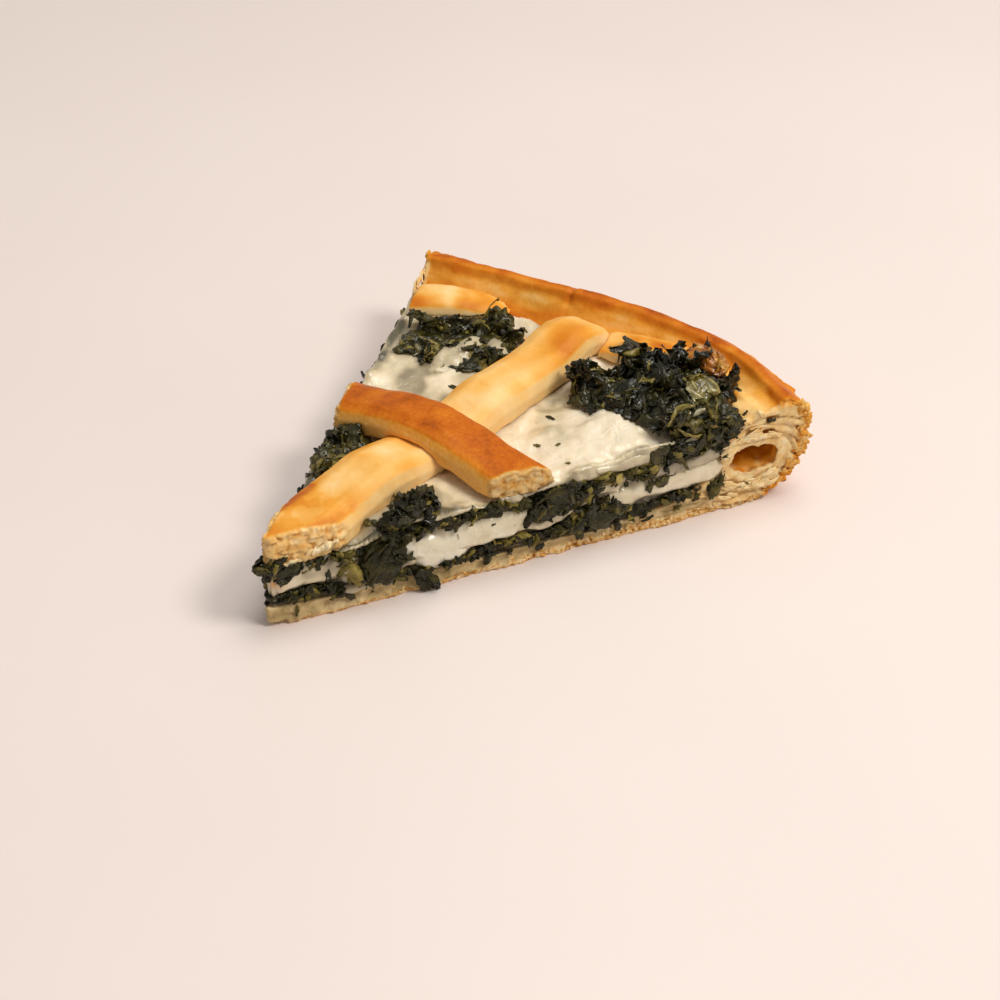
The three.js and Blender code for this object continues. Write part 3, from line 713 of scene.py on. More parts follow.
BACK_BANDS = (
    (((2, 7), (60, 6.6), (112, 7.4)), 1.5, 150, (2.5, 6), 0.2),
    (((2, 15.5), (30, 16.4), (60, 15.8), (113, 16.8)), 1.7, 170, (2.5, 6), 0.2),
    (((44, 16), (60, 15)), 3.0, 16, (3, 6), 0.2),
    (((84, 8.5), (94, 8)), 2.6, 18, (3, 6), 0.25),
)
for side, name, bands in ((-1, "front", FRONT_BANDS), (1, "back", BACK_BANDS)):
    draw = np.random.default_rng(40 + side)
    places = [spots_along(side, line, spread, count, draw) for line, spread, count, *_ in bands]
    sizes = [draw.uniform(*size, count) for *_, count, size, _ in bands]
    tones = [np.clip(draw.normal(tone - 0.06, 0.1, count), 0, 0.7) for *_, count, _, tone in bands]
    tones = [np.where(draw.random(len(tone)) < 0.26, tone + 0.4, tone) for tone in tones]
    places, sizes, tones = (np.concatenate(values) for values in (places, sizes, tones))
    outward = out_of_cut(side, len(places))
    leaves = strew(
        f"leaves_in_{name}_cut", small_leaves, places, outward, sizes, tones, 44 + side, 0.7, 0.03,
        ahead=(COSINE, side * SINE, 0.05), stray=0.9,
    )
    finish(leaves, layer_leaf, "spinach")

# Larger folded leaves over the clumps of the front cut: where, how far they spread, how many, and
# how dark.
CLUMPS = (
    (((67, 13.4), (73, 16), (80, 17.4)), 1.8, 10, 0.1),
    (((78, 8.4), (84, 10.4), (88, 9.4)), 1.6, 6, 0.14),
    (((33, 21), (36, 22), (37, 27)), 1.2, 5, 0.08),
    (((3, 16.4), (6, 17)), 0.6, 3, 0.04),
    (((99, 21.4), (104, 23.6)), 1.2, 5, 0.2),
    (((104, 22), (112, 23), (117, 25)), 1.8, 10, 0.1),
)
draw = np.random.default_rng(48)
places = [spots_along(-1, line, spread, count, draw) for line, spread, count, tone in CLUMPS]
tones = [tones_for(count, int(10 * line[0][0]), tone, 0.2, 0.2) for line, _, count, tone in CLUMPS]
places, tones = np.concatenate(places), np.concatenate(tones)
sizes, outward = draw.uniform(3.6, 6.0, len(places)), out_of_cut(-1, len(places))
pieces = strew("clumps_in_front_cut", torn_leaves, places, outward, sizes, tones, 49, 0.7, 0.12)
finish(pieces, wet_leaf, "spinach")

# Single pieces in the front cut: reach, height, length, slant in degrees, and how olive
FRONT_PIECES = (
    (7.8, 3.4, 2.2, 80, 0.5), (15.6, 11.4, 3.2, 88, 0.1), (10.5, 14.2, 1.2, 20, 0.4),
    (24.6, 5.2, 1.6, 85, 0.2), (26.3, 5.0, 1.8, 95, 0.1), (26.0, 3.2, 0.9, 30, 0.3),
    (19.5, 13, 6.0, 70, 0.55), (21.5, 10, 6.5, 112, 0.75), (23.2, 9, 5.5, 105, 0.7),
    (20.2, 15.5, 4.5, 20, 0.45), (33.4, 11.4, 5.0, -8, 0.15), (47.4, 12.8, 1.8, 90, 0.7),
    (47, 16.2, 2.6, 88, 0.3), (59.8, 11.0, 1.9, 85, 0.3), (56.4, 13.8, 1.2, 10, 0.3),
    (54.8, 4.2, 3.2, 80, 0.1), (62, 12.6, 1.6, 35, 0.3), (64.8, 12.6, 3.2, 100, 0.15),
    (68.4, 3.6, 2.4, 40, 0.1), (78.8, 4.4, 2.4, 85, 0.3), (81.5, 5.0, 2.0, 20, 0.4),
    (88.8, 3.8, 3.0, 100, 0.1), (90.6, 8.6, 3.2, 40, 0.35), (96.8, 3.6, 2.2, 10, 0.2),
    (97.0, 13.4, 4.2, 84, 0.35), (99.6, 13.8, 4.2, -28, 0.4), (103, 15.6, 1.8, 30, 0.2),
    (97.4, 19.2, 4.6, 92, 0.3), (94, 18.4, 3.0, -20, 0.6), (101, 16.8, 2.6, -60, 0.1),
    (114.6, 7.4, 4.4, 62, 0.35), (116.4, 10.2, 3.0, 70, 0.3), (115.8, 8.4, 2.4, -15, 0.3),
    (109.8, 6.6, 2.4, 50, 0.35), (117.4, 16.4, 2.0, -25, 0.15), (129.6, 23.4, 2.2, 14, 0.15),
    (127.6, 22.2, 1.4, 50, 0.2), (120.4, 22, 1.4, 80, 0.5), (121.6, 25, 1.5, 20, 0.2),
    (122, 27.6, 1.4, 60, 0.2),
)
reach, height, sizes, slant, tones = np.array(FRONT_PIECES, float).T
slant = np.radians(slant)
places = on_cut(-1, reach, height, np.where(reach > 120, -0.3, 0.5))
outward = out_of_cut(-1, len(reach))
pieces = strew(
    "bits_in_front_cut", leaf_bits, places, outward, sizes * 1.15, tones, 46, 0.15, 0.05,
    ahead=on_cut(-1, np.cos(slant), np.sin(slant)), stray=0.05,
)
finish(pieces, layer_leaf, "spinach")

# Whole leaves pressed on the front cut, thin and puckered, with paler veins: reach, height, how far
# out, length, width, slant in degrees, and how olive.
WHOLE_LEAVES = (
    ("broad_leaf", 27.6, 12.8, 1.7, 12.5, 6.6, 64, 0.1),
    ("folded_leaf", 33.4, 16.4, 1.4, 7, 4.4, 40, 0.08),
    ("black_leaf", 33.4, 11.6, 1.2, 6, 3.2, -14, 0.1),
    ("leaf_over_base", 40.6, 2.6, 1.4, 6.4, 3.0, 122, 0.16),
)
for seed, (name, reach, height, out, long, wide, slant, tone) in enumerate(WHOLE_LEAVES, 81):
    bpy.ops.mesh.primitive_grid_add(x_subdivisions=46, y_subdivisions=34, size=1)
    leaf = bpy.context.object
    leaf.name = leaf.data.name = name
    u, v = values_of(leaf.data.vertices, "co", 3)[:, :2].T
    flat = np.stack([u, v, 0 * u], 1)
    edge = np.clip(1 - np.abs(2 * u + 0.12) ** 1.5, 0.01, 1) ** 0.85
    side_veins = ramp(0.09, 0.0, np.abs((u * 5 - 3.2 * np.abs(v)) % 1 - 0.5))
    vein = np.maximum(ramp(0.03, 0.0, np.abs(v)), 0.8 * side_veins)
    v = v * edge * (1 + 0.1 * uneven(flat, 0.2, seed))
    pucker = 0.8 * uneven(flat, 0.3, seed + 1, 2) - 0.4 * vein + 0.25 * np.sin(30 * v + 9 * u)
    curl = 0.9 - 2.6 * np.abs(v) + 1.2 * v - 0.8 * u * u
    ahead, up = np.cos(np.radians(slant)), np.sin(np.radians(slant))
    along, across = u * long * (1 + 0.06 * uneven(flat, 0.25, seed + 2)), v * wide
    reach, height = reach + along * ahead - across * up, height + along * up + across * ahead
    points = on_cut(-1, reach, height, out + 0.9 * pucker + curl)
    points[:, 2] = np.maximum(points[:, 2], 0.3)
    write_skin(leaf, points)
    paint(leaf, tone=tone + 0.16 * vein + 0.16 * ramp(-0.1, 0.5, uneven(flat, 0.5, seed + 3, 2)))
    modify(leaf, "SOLIDIFY", thickness=0.00025, offset=0)
    edit(leaf, bpy.ops.mesh.normals_make_consistent, inside=False)
    bpy.ops.object.shade_smooth()
    finish(leaf, layer_leaf, "spinach")

# The cheese: soft white cheese, melted between the spinach and over it, moist and slightly
# see-through where it lies thin, so that the green below greys it.
cheese_colours = {
    0.0: (247, 233, 207),
    0.3: (240, 223, 191),
    0.55: (212, 195, 158),
    0.8: (154, 140, 112),
    1.0: (90, 84, 58),
}
melted, w = new_material("melted_cheese")
place = w.place()
clouds = w.noise(place, 150, 4, 0.4)
thin = w.maths("SUBTRACT", w.scale(clouds, 0.35, w.layer("thin")), 0.17)
w.shader(
    {
        "Base Color": w.mix(w.layer("blush"), w.colours(thin, cheese_colours), srgb(240, 164, 72)),
        "Normal": w.bump(w.noise(place, 300, 5, 0.9), 0.5, 0.001),
        "Roughness": w.scale(clouds, 0.3, 0.2),
        "Coat Weight": 0.7,
        "Coat Roughness": 0.1,
        "Coat Normal": w.bump(w.noise(place, 520, 3, 0.6), 0.4, 0.0008),
        **subsurface(0.35, (1.0, 0.8, 0.5), 0.0025),
    }
)
BLUSH_SPOTS = ((98.2, 14.6), (108.6, 14.8), (88, 4))
for name, node in (("cheese_between", "cheese_lower"), ("cheese_over", "cheese_top")):
    cheese = fine_copy(name, node, 0.00055, 5)
    points, normals = read_skin(cheese)
    x, y = points[:, 0], points[:, 1]
    front, back = from_cuts(points)
    nearest = np.minimum(front, back)
    at_cut = ramp(2.2, 0.8, nearest)
    below = node == "cheese_lower"
    top = ramp(0.5, 0.9, normals[:, 2]) * (not below)
    swell = uneven(points * [1, 1, 1.3], 7.5, 41, 2)
    depth = at_cut * (0.25 + 0.4 * swell - 0.8 * below)
    depth = depth + 0.6 * ramp(6, 1, nearest) * top * uneven(points, 3.2, 46, 2)
    depth = depth + top * (0.6 * uneven(points, 8, 42, 2) + 0.2 * uneven(points, 2.4, 43))
    depth -= 1.8 * top * ramp(95, 100, np.hypot(x, y)) * ramp(8, 4, front)
    thin = 0.24 + 0.24 * uneven(points, 7, 44, 3) - 0.12 * uneven(points, 5.2, 42, 3) * top
    thin += 0.3 * ramp(45, 20, x) * below
    grey = 0.6 * ramp(-4, 10, y) + 0.46 * ramp(52, 38, x)
    thin += top * grey * (0.8 + 0.5 * uneven(points, 7, 45, 2))
    thin = np.minimum(thin, 1 - 0.22 * top) + 0.3 * at_cut
    points = points + normals * depth[:, None]
    write_skin(cheese, points)
    reach = np.hypot(points[:, 0], points[:, 1])
    blush = 0.6 * patch(reach, 3, 2.4) * patch(points[:, 2], 11.8, 1.6) * below
    blush = np.maximum(blush, 0.8 * ramp(112, 117, reach) * (y < -20) * (not below))
    for spot in BLUSH_SPOTS:
        away = np.hypot(x - spot[0], (y - spot[1]) / 1.6)
        blush = np.maximum(blush, 0.9 * top * patch(away, 0, 1.1))
    paint(cheese, thin=thin, blush=blush)
    finish(cheese, melted, "cheese", node)

# The lattice: strips of the same dough laid over the filling. The long one runs from the tip to the
# rim under the short one, which crosses it from cut to cut and has browned most. Two shorter ends
# lie inside the rim.


def strip_skin(name, node):
    """A strip with torn ends: the piece, its points, where it faces up, its torn ends, crumbs."""
    strip = fine_copy(name, node, 0.0004, 8)
    points, normals = read_skin(strip)
    cut_face = ramp(1.4, 0.5, np.minimum(*from_cuts(points)))
    crumbs = uneven(points, 1.1, 51, 2)
    sheets = uneven(points * [0.4, 0.4, 1.2], 1.5, 52, 2)
    depth = cut_face * (0.2 - 0.6 * ramp(0.5, 0.05, np.abs(sheets)) - 0.35 * np.abs(crumbs))
    depth += 0.5 * cut_face * ramp(0.2, 0.7, uneven(points, 3.5, 58))
    depth += (1 - cut_face) * (0.15 + 0.16 * uneven(points, 6, 53, 2) + 0.02 * crumbs)
    points = points + normals * depth[:, None]
    write_skin(strip, points)
    paint(strip, ply=points[:, 2] / 34 + 0.02 * uneven(points, 4, 59) + 0.1)
    return strip, points, ramp(0.25, 0.8, normals[:, 2]), cut_face, crumbs


def finish_strip(strip, baked, cut_face, inside, crumbs, material, slot, node):
    """A strip as baked outside as `baked` says, and as `inside` says where it is torn."""
    baked = baked * (1 - cut_face) + cut_face * (inside + 0.1 * crumbs)
    paint(strip, baked=baked, crumb=cut_face)
    finish(strip, material, slot, node)


pale_dough, w, _ = dough_material("pale_strip", 0.2, 0.06, 0.22)
w.shader({"Coat Weight": 0.08})
browned_dough = dough_material("browned_strip", 0.12, 0.24, 0.5)[0]

strip, points, top, cut_face, crumbs = strip_skin("long_strip", "strip_long")
x, y, z = points.T
edge = ramp(3.5, 6.5, np.abs(y + 0.5))
mottle = uneven(points, 3.2, 57, 3)
at_tip = 0.3 * ramp(30, 16, x + 5 * mottle) * (0.5 + 0.5 * edge)
baked = 0.19 + 0.08 * top + top * (at_tip + 0.3 * patch(x, 103, 11) * ramp(7, -3, y))
golden = 0.08 * top * ramp(34, 20, x) * ramp(0.1, 0.4, mottle)
baked += golden + 0.09 * ramp(2, 6, y) * ramp(52, 40, x) * top
baked += 0.07 * top * uneven(points, 8, 54, 2) + 0.05 * top * edge
finish_strip(strip, baked, cut_face, 0.26, crumbs, pale_dough, "crust", "strip_long")

strip, points, top, cut_face, crumbs = strip_skin("short_strip", "strip_short")
side = points[:, 0] - 55.5 + 0.09 * points[:, 1]
baked = 0.32 + top * (0.38 + 0.05 * uneven(points, 5, 55, 3) - 0.1 * ramp(-3.5, -6.5, side))
finish_strip(strip, baked, cut_face, 0.27, crumbs, browned_dough, "crust_browned", "strip_short")

for name, node, x, y in (
    ("end_at_back", "lattice_end_back", 98, 44),
    ("end_at_front", "lattice_end_front", 120, -20),
):
    strip, points, top, cut_face, crumbs = strip_skin(name, node)
    blister = np.exp(-(((points[:, 0] - x) / 3) ** 2 + ((points[:, 1] - y) / 4.5) ** 2))
    baked = 0.16 + 0.14 * top + top * (0.16 * uneven(points, 6, 56, 2) + 0.4 * blister)
    finish_strip(strip, baked, cut_face, 0.26, crumbs, pale_dough, "crust", node)

# The torn dough: thin sheets and crumbs that stand out of the cut ends of the rim and the strips.
dough_flakes = [
    leaf_shape(seed, 0.3 + 0.06 * (seed % 3), 0.2, 0.15, 0.04, (9, 4), 0.05)
    for seed in range(111, 119)
]
crumb_shapes = [leaf_shape(seed, 0.7, 0.5, 0.2, 0.1, (5, 4), 0.35) for seed in range(121, 127)]
flaky_dough = dough_material("flaky_dough", 0.2, 0.1, 0.3)[0]


def lay_flakes(name, shapes, side, reach, height, slant, sizes, baked, seed, tilt, out=0.1):
    """Thin dough pieces on a cut face, lying along these slants."""
    outward = out_of_cut(side, len(reach))
    piece = strew(
        name, shapes, on_cut(side, reach, height, out), outward, sizes, baked, seed, tilt, 0.1,
        ahead=on_cut(side, np.cos(slant), np.sin(slant)), stray=0.15,
    )
    piece.data.attributes["tone"].name = "baked"
    browned = values_of(piece.data.attributes["baked"].data, "value")
    paint(piece, crumb=0.75 - 1.4 * browned, ply=0 * browned + 0.3)
    finish(piece, flaky_dough, "crust")


SIDES = ((-1, "front"), (1, "back"))
RING_LONG, RING_TALL = 6.6, 4.6  # half sizes of the rings of layers round the blister
TRIED, PLIES, CRUMBS = 240, 70, 130  # places tried and plies laid in a rim, and crumbs tried on it
for side, name in SIDES:
    draw = np.random.default_rng(130 + side)
    ring, turned = draw.uniform(1.3, 2.5, TRIED), draw.uniform(0, 2 * math.pi, TRIED)
    reach = BLISTER[0] + RING_LONG * ring * np.cos(turned)
    height = BLISTER[1] + RING_TALL * ring * np.sin(turned)
    inside = (reach > 117) & (reach < 131) & (height > 3.5) & (height < 23)
    reach, height, turned = (values[inside][:PLIES] for values in (reach, height, turned))
    slant = np.arctan2(RING_TALL * np.cos(turned), -RING_LONG * np.sin(turned))
    sizes, baked = draw.uniform(2.0, 5.0, len(reach)), 0.04 + 0.12 * draw.random(len(reach))
    lay_flakes(
        f"plies_in_{name}_rim", dough_flakes, side, reach, height, slant, sizes, baked,
        131 + side, 0.28,
    )

# The first crumbs lie under the long strip's end, the others along the base
draw = np.random.default_rng(133)
count = 96
place = np.arange(count)
under_strip = place < 30
reach = np.where(under_strip, draw.uniform(4, 19, count), draw.uniform(10, 127, count))
height = 0.5 + draw.random(count) ** 2 * (1.2 + 1.6 * ramp(70, 90, reach))
height = np.where(under_strip, 15.4 + 0.28 * reach, height)
sizes = np.where(under_strip, draw.uniform(0.8, 2.2, count), draw.uniform(0.3, 1.0, count))
baked = np.where(under_strip, 0.06, 0.1) + 0.3 * draw.random(count) * (place > 60)
slant = draw.uniform(-0.4, 0.8, count)
lay_flakes("crumbs_on_front_cut", crumb_shapes, -1, reach, height, slant, sizes, baked, 134, 0.8)

for side, name in SIDES:
    draw = np.random.default_rng(140 + side)
    height = draw.uniform(3, 27, CRUMBS)
    edge = rim_edge[side][(height * STEPS_PER_MM).astype(int)]
    height, edge = height[edge > 122], edge[edge > 122]
    count = len(height)
    reach = edge - draw.uniform(0.3, 3.0, count)
    sizes = draw.uniform(0.7, 2.2, count)
    baked = 0.26 + 0.24 * draw.random(count)
    slant = draw.uniform(0, 3, count)
    lay_flakes(
        f"crumbs_on_{name}_rim", crumb_shapes, side, reach, height, slant, sizes, baked,
        141 + side, 0.9, -0.05,
    )

# The heaps: chopped leaves and stems on top of the cheese, dark and glossy, the largest in the
# front corner inside the rim.
HEAPS = (
    # node, leaves, their sizes, bits, stems, darkest tone, share of olive pieces
    ("spinach_mound", 128, (4.5, 9), 54, 24, 0.05, 0.06),
    ("spinach_back", 46, (3.5, 7), 60, 8, 0.16, 0.2),
    ("spinach_left", 22, (3.5, 7), 22, 4, 0.18, 0.25),
    ("spinach_front", 14, (3, 6), 18, 3, 0.04, 0.2),
)
WET = {7.0: 0.9, 3.2: 0.8, 1.6: 0.3}
ONION_SPOTS = ((107.5, -41.0, 6.6), (120.5, -33.5, 10.0), (99.6, -45.6, 3.4))  # kept clear


def upward(points, normals):
    """Leaves lie where a heap faces up, or shows at the front cut, and clear of the onion."""
    facing = -normals[:, 0] * SINE - normals[:, 1] * COSINE
    at_front = 0.9 * ramp(0.3, 0.8, facing) * ramp(1.6, 0.6, from_cuts(points)[0])
    wanted = 0.04 + ramp(0.0, 0.5, normals[:, 2]) + at_front
    for x, y, wide in ONION_SPOTS:
        wanted = wanted * ramp(0.7 * wide, wide, np.hypot(points[:, 0] - x, points[:, 1] - y))
    return wanted * ramp(125, 122, np.hypot(points[:, 0], points[:, 1]))


heap_cores = {}
for seed, (node, leaves, size, bits, stems, dark, olive) in enumerate(HEAPS, 61):
    core = spinach_core(node + "_core", node, 0.00036, 0.3, WET, seed, dark)
    heap_cores[node] = core
    finish(core, wet_leaf, "spinach", node)
    draw = np.random.default_rng(seed)
    for kind, (name, shapes, count, long, tilt, lift, cling) in enumerate(
        (
            ("_leaves", torn_leaves, leaves, size, 0.3, 0.04, (0.74, 0.98)),
            ("_bits", small_leaves, bits, (1.8, 3.8), 0.5, 0.06, (0.5, 0.9)),
            ("_stems", stem_bits, stems, (5, 9), 0.2, 0.12, (0.3, 0.7)),
        )
    ):
        own_seed = seed + 10 * kind
        places, outward = spots_on(core, count, upward, own_seed)
        sizes = draw.uniform(*long, count)
        if name == "_leaves":
            tones = tones_for(count, seed, dark - 0.02, 0.24, olive)
        elif name == "_bits":
            tones = tones_for(count, seed, dark, 0.4, olive * 2)
        else:
            tones = draw.uniform(0.4, 0.75, count)
        pieces = strew(
            node + name, shapes, places, outward, sizes, tones, own_seed, tilt, lift,
            bed=core, cling=cling,
        )
        finish(pieces, wet_leaf, "spinach")

# Cheese smeared over the cut faces: its swollen runs, how far each spreads, and how thin it lies;
# between them it is sunk and grey, and the leaves lie on it.
FRONT_RUNS = (
    (((1.0, 11.2), (9, 12.2)), 2.9, 0.42),
    (((11, 12.2), (20, 12.6)), 3.3, 0.68),
    (((20, 9.0), (36, 8.8)), 1.6, 0.78),
    (((20, 5.4), (30, 4.9)), 1.1, 0.7),
    (((35, 12), (44, 10.8), (50, 12)), 3.6, 0.12),
    (((50, 12), (56, 12.6), (63, 13)), 3.4, 0.36),
    (((40, 8.4), (47, 8.2)), 3.2, 0.06),
    (((44, 9.6), (54, 10), (61, 10.8)), 1.5, 0.25),
    (((63, 12), (68, 9.6), (75, 11.4), (82, 15.8), (88, 15.6)), 1.3, 0.5),
    (((87, 11.6), (100, 12.2), (115, 13)), 3.1, 0.42),
    (((89, 17), (98, 16.8), (116, 17.4)), 1.7, 0.74),
    (((10, 19.6), (22, 19.6), (32, 24.5), (40, 28)), 3.4, 0.72),
    (((38, 22), (50, 22), (62, 21.4)), 2.2, 0.6),
    (((84, 21.6), (98, 22.4)), 1.8, 0.6),
)
BACK_RUNS = (
    (((2, 11.4), (30, 11.4)), 2.7, 0.6),
    (((30, 11.2), (62, 11)), 3.4, 0.44),
    (((62, 11), (82, 12)), 2.6, 0.7),
    (((82, 12), (115, 12.6)), 3.6, 0.46),
    (((66, 17), (76, 16)), 1.6, 0.7),
    (((20, 6.6), (27, 6.2)), 1.2, 0.7),
    (((10, 20), (60, 20.6), (112, 21)), 2.4, 0.6),
)
ROWS, OVER = 54, 0.86  # rows of a sheet from its foot up, and the share at which it turns in
cheese_over = bpy.data.objects["cheese_over"]


def surface_below(x, y, pieces):
    """The height of the highest of these pieces under each place, in millimetres."""
    heights = np.full(len(x), -1.0)
    for piece in pieces:
        for index, (a, b) in enumerate(zip(x, y)):
            start = (a / 1000 + TIP[0], b / 1000 + TIP[1], 0.06)
            hit, place, *_ = piece.ray_cast(start, (0, 0, -1))
            if hit:
                heights[index] = max(heights[index], place.z * 1000)
    return heights


def film(name, places, keep, thin, blush):
    """A melted sheet through a grid of places, where `keep`, a grid of the same shape, says."""
    index = np.arange(keep.size).reshape(keep.shape)
    first, last = slice(None, -1), slice(1, None)
    corners = ((first, first), (last, first), (last, last), (first, last))
    cells = np.all([keep[corner] for corner in corners], axis=0)
    sheet = new_piece(name, places, np.stack([index[corner] for corner in corners], 2)[cells])
    paint(sheet, thin=thin, blush=blush)
    edit(sheet, bpy.ops.mesh.delete_loose)
    modify(sheet, "SOLIDIFY", thickness=0.0008, offset=0)
    edit(sheet, bpy.ops.mesh.normals_make_consistent, inside=False)
    bpy.ops.object.shade_smooth()
    finish(sheet, melted, "cheese")


def from_line(reach, height, line):
    """Distance of places from a line of points."""
    best = np.full(len(reach), 1e9)
    for (r0, h0), (r1, h1) in zip(line, line[1:]):
        run, rise = r1 - r0, h1 - h0
        share = ((reach - r0) * run + (height - h0) * rise) / (run**2 + rise**2)
        share = np.clip(share, 0, 1)
        best = np.minimum(best, np.hypot(reach - r0 - share * run, height - h0 - share * rise))
    return best


for side, name, runs, seed in ((-1, "front", FRONT_RUNS, 91), (1, "back", BACK_RUNS, 92)):
    # Each sheet rises from the base and bends in over the edge of the cheese on top
    along = np.arange(2.6, 118, 0.42)
    lips = []
    for inward in (1.4, 3, 5.5):
        edge = on_cut(side, along, 0, -inward)
        lip = surface_below(edge[:, 0], edge[:, 1], [cheese_over])
        lip = np.where(lip < 8, 20, lip)
        lip = np.convolve(np.pad(lip, 5, mode="edge"), np.full(11, 1 / 11), "valid")
        lips.append(lip[:, None])
    share = np.linspace(0, 1, ROWS)
    bend = np.clip(share / (1 - OVER) - OVER / (1 - OVER), 0, 1)
    crown = lips[0] * (1 - bend) ** 2 + lips[1] * 2 * bend * (1 - bend) + lips[2] * bend**2
    height = 3.8 + (crown - 4.9) * np.minimum(share / OVER, 1) - 2.2 * bend**2
    shape, height = height.shape, height.ravel()
    reach, bend = np.repeat(along, ROWS), np.tile(bend, len(along))
    # How far it swells out along its runs, and how thin it lies
    flat = np.stack([reach, 1.3 * height, 0 * reach], 1)
    ragged = 0.5 * uneven(flat, 5, seed) + 0.4 * uneven(flat, 2.2, seed + 5)
    swell, thin, weight = np.full(len(reach), -1.0), 0, 1e-9
    for line, spread, thinness in runs:
        here = 1 - (from_line(reach, height, line) + ragged) / spread
        thin = thin + thinness * np.exp(5 * here)
        weight = weight + np.exp(5 * here)
        swell = np.maximum(swell, here)
    thin = 0.92 + (thin / weight - 0.92) * ramp(-0.5, 0.45, swell)
    thin = thin + (0.25 - thin) * ramp(0, 0.4, bend) + 0.1 * uneven(flat, 4, seed + 7, 2)
    out = -1.4 + 1.8 * ramp(-0.3, 0.6, swell) + 0.2 * uneven(flat, 6, seed + 6)
    out = (out + 0.07 * uneven(flat, 1.8, seed + 8)) * (1 - bend)
    out = out - (5.5 + uneven(flat, 6, seed + 9)) * bend
    out = out - 0.8 * ramp(112, 118, reach) - 2.0 * ramp(5, 2.6, reach)
    out = np.maximum(out, -0.3 * reach)
    blush = 0.9 * patch(reach, 3, 2.0) * patch(height, 12.2, 1.5) * (side < 0)
    kept = ((reach <= 96.5) | (height <= 20)).reshape(shape)
    film(f"cheese_on_{name}_cut", on_cut(side, reach, height, out), kept, thin, blush)

# Cheese that ran over the heaps and pools between them, with their middles and reaches.
POOLS = (
    # x, y, reach along x, reach along y, how thin, the heap under it
    (27, -10, 9, 3.6, 0.7, "spinach_front"),
    (88, 22, 8, 4, 0.62, "spinach_back"),
    (97, 17, 4, 5, 0.7, "spinach_back"),
    (99, 33, 3.6, 4, 0.7, "spinach_back"),
    (48, 18, 4, 2.6, 0.72, "spinach_left"),
)
MARGIN, GRAIN = 1.5, 0.6  # the grid reaches that far past a pool, with cells of that size
for number, (x, y, wide, deep, thin, heap) in enumerate(POOLS):
    a = np.arange(x - MARGIN * wide, x + MARGIN * wide, GRAIN)
    b = np.arange(y - MARGIN * deep, y + MARGIN * deep, GRAIN)
    a, b = np.meshgrid(a, b, indexing="ij")
    shape = a.shape
    a, b = a.ravel(), b.ravel()
    flat = np.stack([a, b, 0 * a], 1)
    swell = 1 - ((a - x) / wide) ** 2 - ((b - y) / deep) ** 2
    swell += 0.9 * uneven(flat, 5, 95 + number, 2)
    bed = surface_below(a, b, [cheese_over, heap_cores[heap]]).reshape(shape)
    for _ in range(4):
        padded = np.pad(bed, 1, mode="edge")
        around = padded[:-2, 1:-1] + padded[2:, 1:-1] + padded[1:-1, :-2] + padded[1:-1, 2:]
        bed = (around + bed) / 5
    bed = bed.ravel()
    places = np.stack([a, b, bed - 0.8 + 1.2 * ramp(-0.1, 0.9, swell)], 1)
    kept = (np.minimum(*from_cuts(flat)) > 0.4) & (bed > 8) & (swell + 0.1 > 0)
    film(f"cheese_pool_{number + 1}", places, kept.reshape(shape), 0 * a + thin, 0 * a)


# Bits of leaf that lie in the top cheese
def open_cheese(points, normals):
    radius = np.hypot(points[:, 0], points[:, 1])
    clear = ramp(0.6, 0.9, normals[:, 2]) * ramp(30, 40, points[:, 0]) * ramp(118, 112, radius)
    return clear * ramp(0.1, 0.6, uneven(points, 9, 103))


BITS = 16
places, outward = spots_on(cheese_over, BITS, open_cheese, 101)
sizes = np.random.default_rng(101).uniform(1.8, 3.8, BITS)
tones = tones_for(BITS, 101, 0.2, 0.4, 0.4)
pieces = strew("bits_in_cheese", small_leaves, places, outward, sizes, tones, 101, 0.2, -0.1)
finish(pieces, wet_leaf, "spinach")


# The onion: two soft, see-through flakes that lie in the large heap, the rear one browned, and a
# pale sliver below them.
def onion_material(name, steps):
    material, w = new_material(name)
    w.shader(
        {
            "Base Color": w.colours(w.noise(w.place(), 420, 3, 1.0), steps),
            "Normal": w.bump(w.noise(w.place(), 600, 3, 1.0), 0.6, 0.0008),
            "Roughness": 0.16,
            "Coat Weight": 0.5,
            "Coat Roughness": 0.06,
            **subsurface(0.4, (1.0, 0.8, 0.35), 0.002),
        }
    )
    return material


SOFT_ONION = {0.3: (78, 70, 26), 0.5: (120, 106, 46), 0.7: (176, 160, 96)}
BROWN_ONION = {0.3: (112, 54, 8), 0.5: (184, 106, 22), 0.7: (224, 158, 62)}
SKINS = 9
for name, node, finish_name, steps in (
    ("onion_flake", "onion_piece", "soft_onion", SOFT_ONION),
    ("browned_flake", "onion_browned", "browned_onion", BROWN_ONION),
):
    material = onion_material(finish_name, steps)
    flake = fine_copy(name, node, 0.00035, 3)
    points, normals = read_skin(flake)
    write_skin(flake, points + normals * (0.24 * crumpled(points, 71, 3.4) - 0.1)[:, None])
    finish(flake, material, "onion", node)
    places, outward = spots_on(flake, SKINS, lambda _, normals: ramp(0, 0.5, normals[:, 2]), 72)
    skins = strew(
        name + "_skins", torn_leaves, places, outward, np.linspace(4.5, 9.5, SKINS),
        np.full(SKINS, 0.4), 73, 0.15, 0.1, bed=flake, cling=(0.3, 0.8),
    )
    finish(skins, material, "onion")

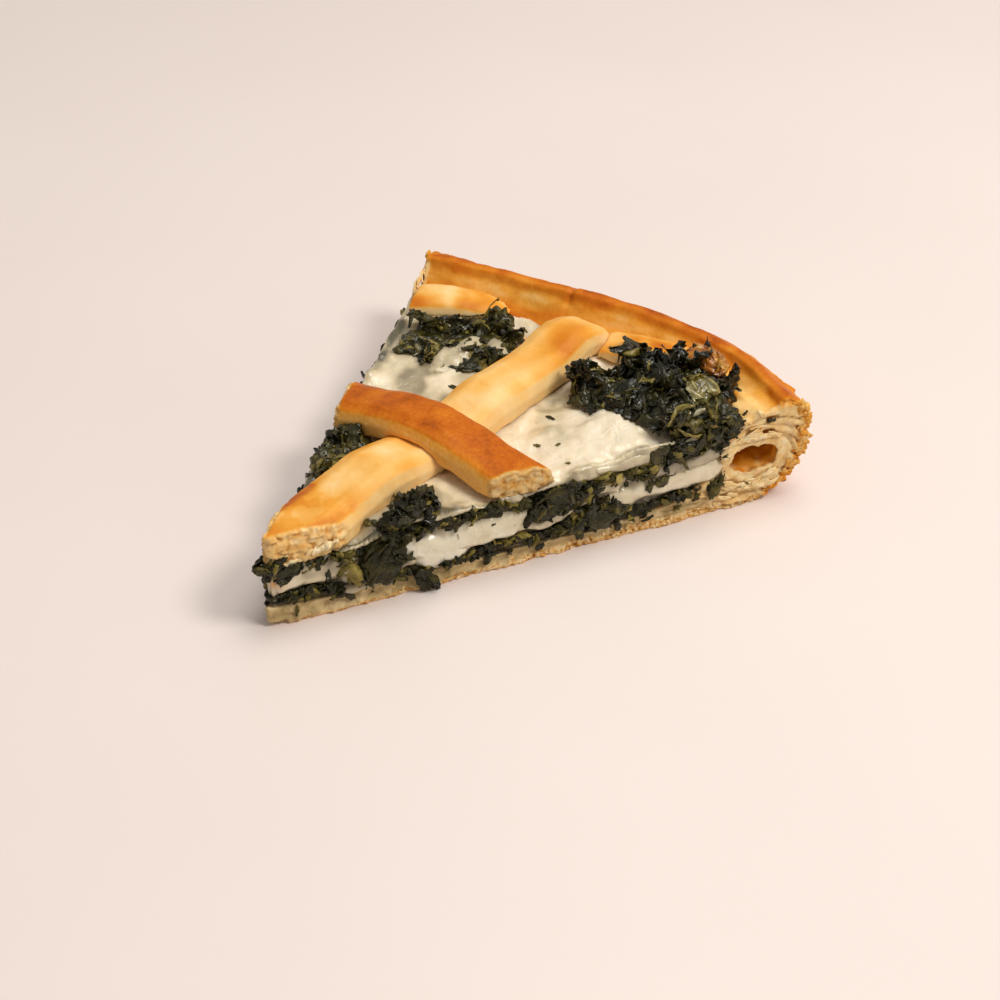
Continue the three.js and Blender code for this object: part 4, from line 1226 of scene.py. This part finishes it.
bpy.ops.mesh.primitive_uv_sphere_add(segments=16, ring_count=10, radius=1)
sliver = bpy.context.object
sliver.name = sliver.data.name = "onion_sliver"
x, y, z = values_of(sliver.data.vertices, "co", 3).T * [[3.3], [0.85], [0.75]]
turn = math.radians(-25)
ahead, aside = x * math.cos(turn) - y * math.sin(turn), x * math.sin(turn) + y * math.cos(turn)
write_skin(sliver, np.stack([ahead, aside, z + 0.05 * x**2], 1) + (99.6, -45.6, 29.2))
bpy.ops.object.shade_smooth()
pale_onion = onion_material("pale_onion", {0.3: (150, 142, 104), 0.6: (196, 188, 150)})
finish(sliver, pale_onion, "onion")

# The stage: a plain pale floor, a soft window light low on the right, a larger one overhead, and
# the camera where the photograph's was.
bpy.ops.mesh.primitive_plane_add(size=4)
floor = bpy.context.object
floor.name = "floor"
material, w = new_material("pale_floor")
colour = w.colours(w.noise(w.place(), 6), {0.3: (231, 217, 209), 0.7: (235, 222, 214)})
w.shader({"Base Color": colour, "Roughness": 0.5})
floor.data.materials.append(material)

for name, place, size, power, colour in (
    ("window", (0.28, -0.75, 1.05), 0.42, 8.8, (1.0, 0.97, 0.93)),
    ("ceiling", (0.3, -0.05, 1.25), 0.9, 8.0, (1.0, 0.98, 0.96)),
):
    light = bpy.data.lights.new(name, "AREA")
    light.shape = "DISK"
    light.size, light.energy, light.color = size, power, colour
    lamp = bpy.data.objects.new(name, light)
    bpy.context.scene.collection.objects.link(lamp)
    lamp.location = place
    x, y, z = -np.array(place)
    lean, heading = math.acos(z / math.hypot(x, y, z)), math.atan2(y, x)
    lamp.rotation_euler = (lean + math.pi, 0, heading + math.pi / 2)
world = bpy.context.scene.world or bpy.data.worlds.new("room")
bpy.context.scene.world = world
world.use_nodes = True
world.node_tree.nodes["Background"].inputs["Color"].default_value = (1.0, 0.97, 0.94, 1)
world.node_tree.nodes["Background"].inputs["Strength"].default_value = 0.34

camera = bpy.data.objects.new("camera", bpy.data.cameras.new("camera"))
bpy.context.scene.collection.objects.link(camera)
camera.data.sensor_width = 36
camera.data.lens = 72
camera.location = (-0.29219, -0.2686, 0.30057)
camera.rotation_euler = (math.radians(52.778), 0, math.radians(-48.582))
bpy.context.scene.camera = camera
bpy.context.scene.view_settings.view_transform = "Standard"
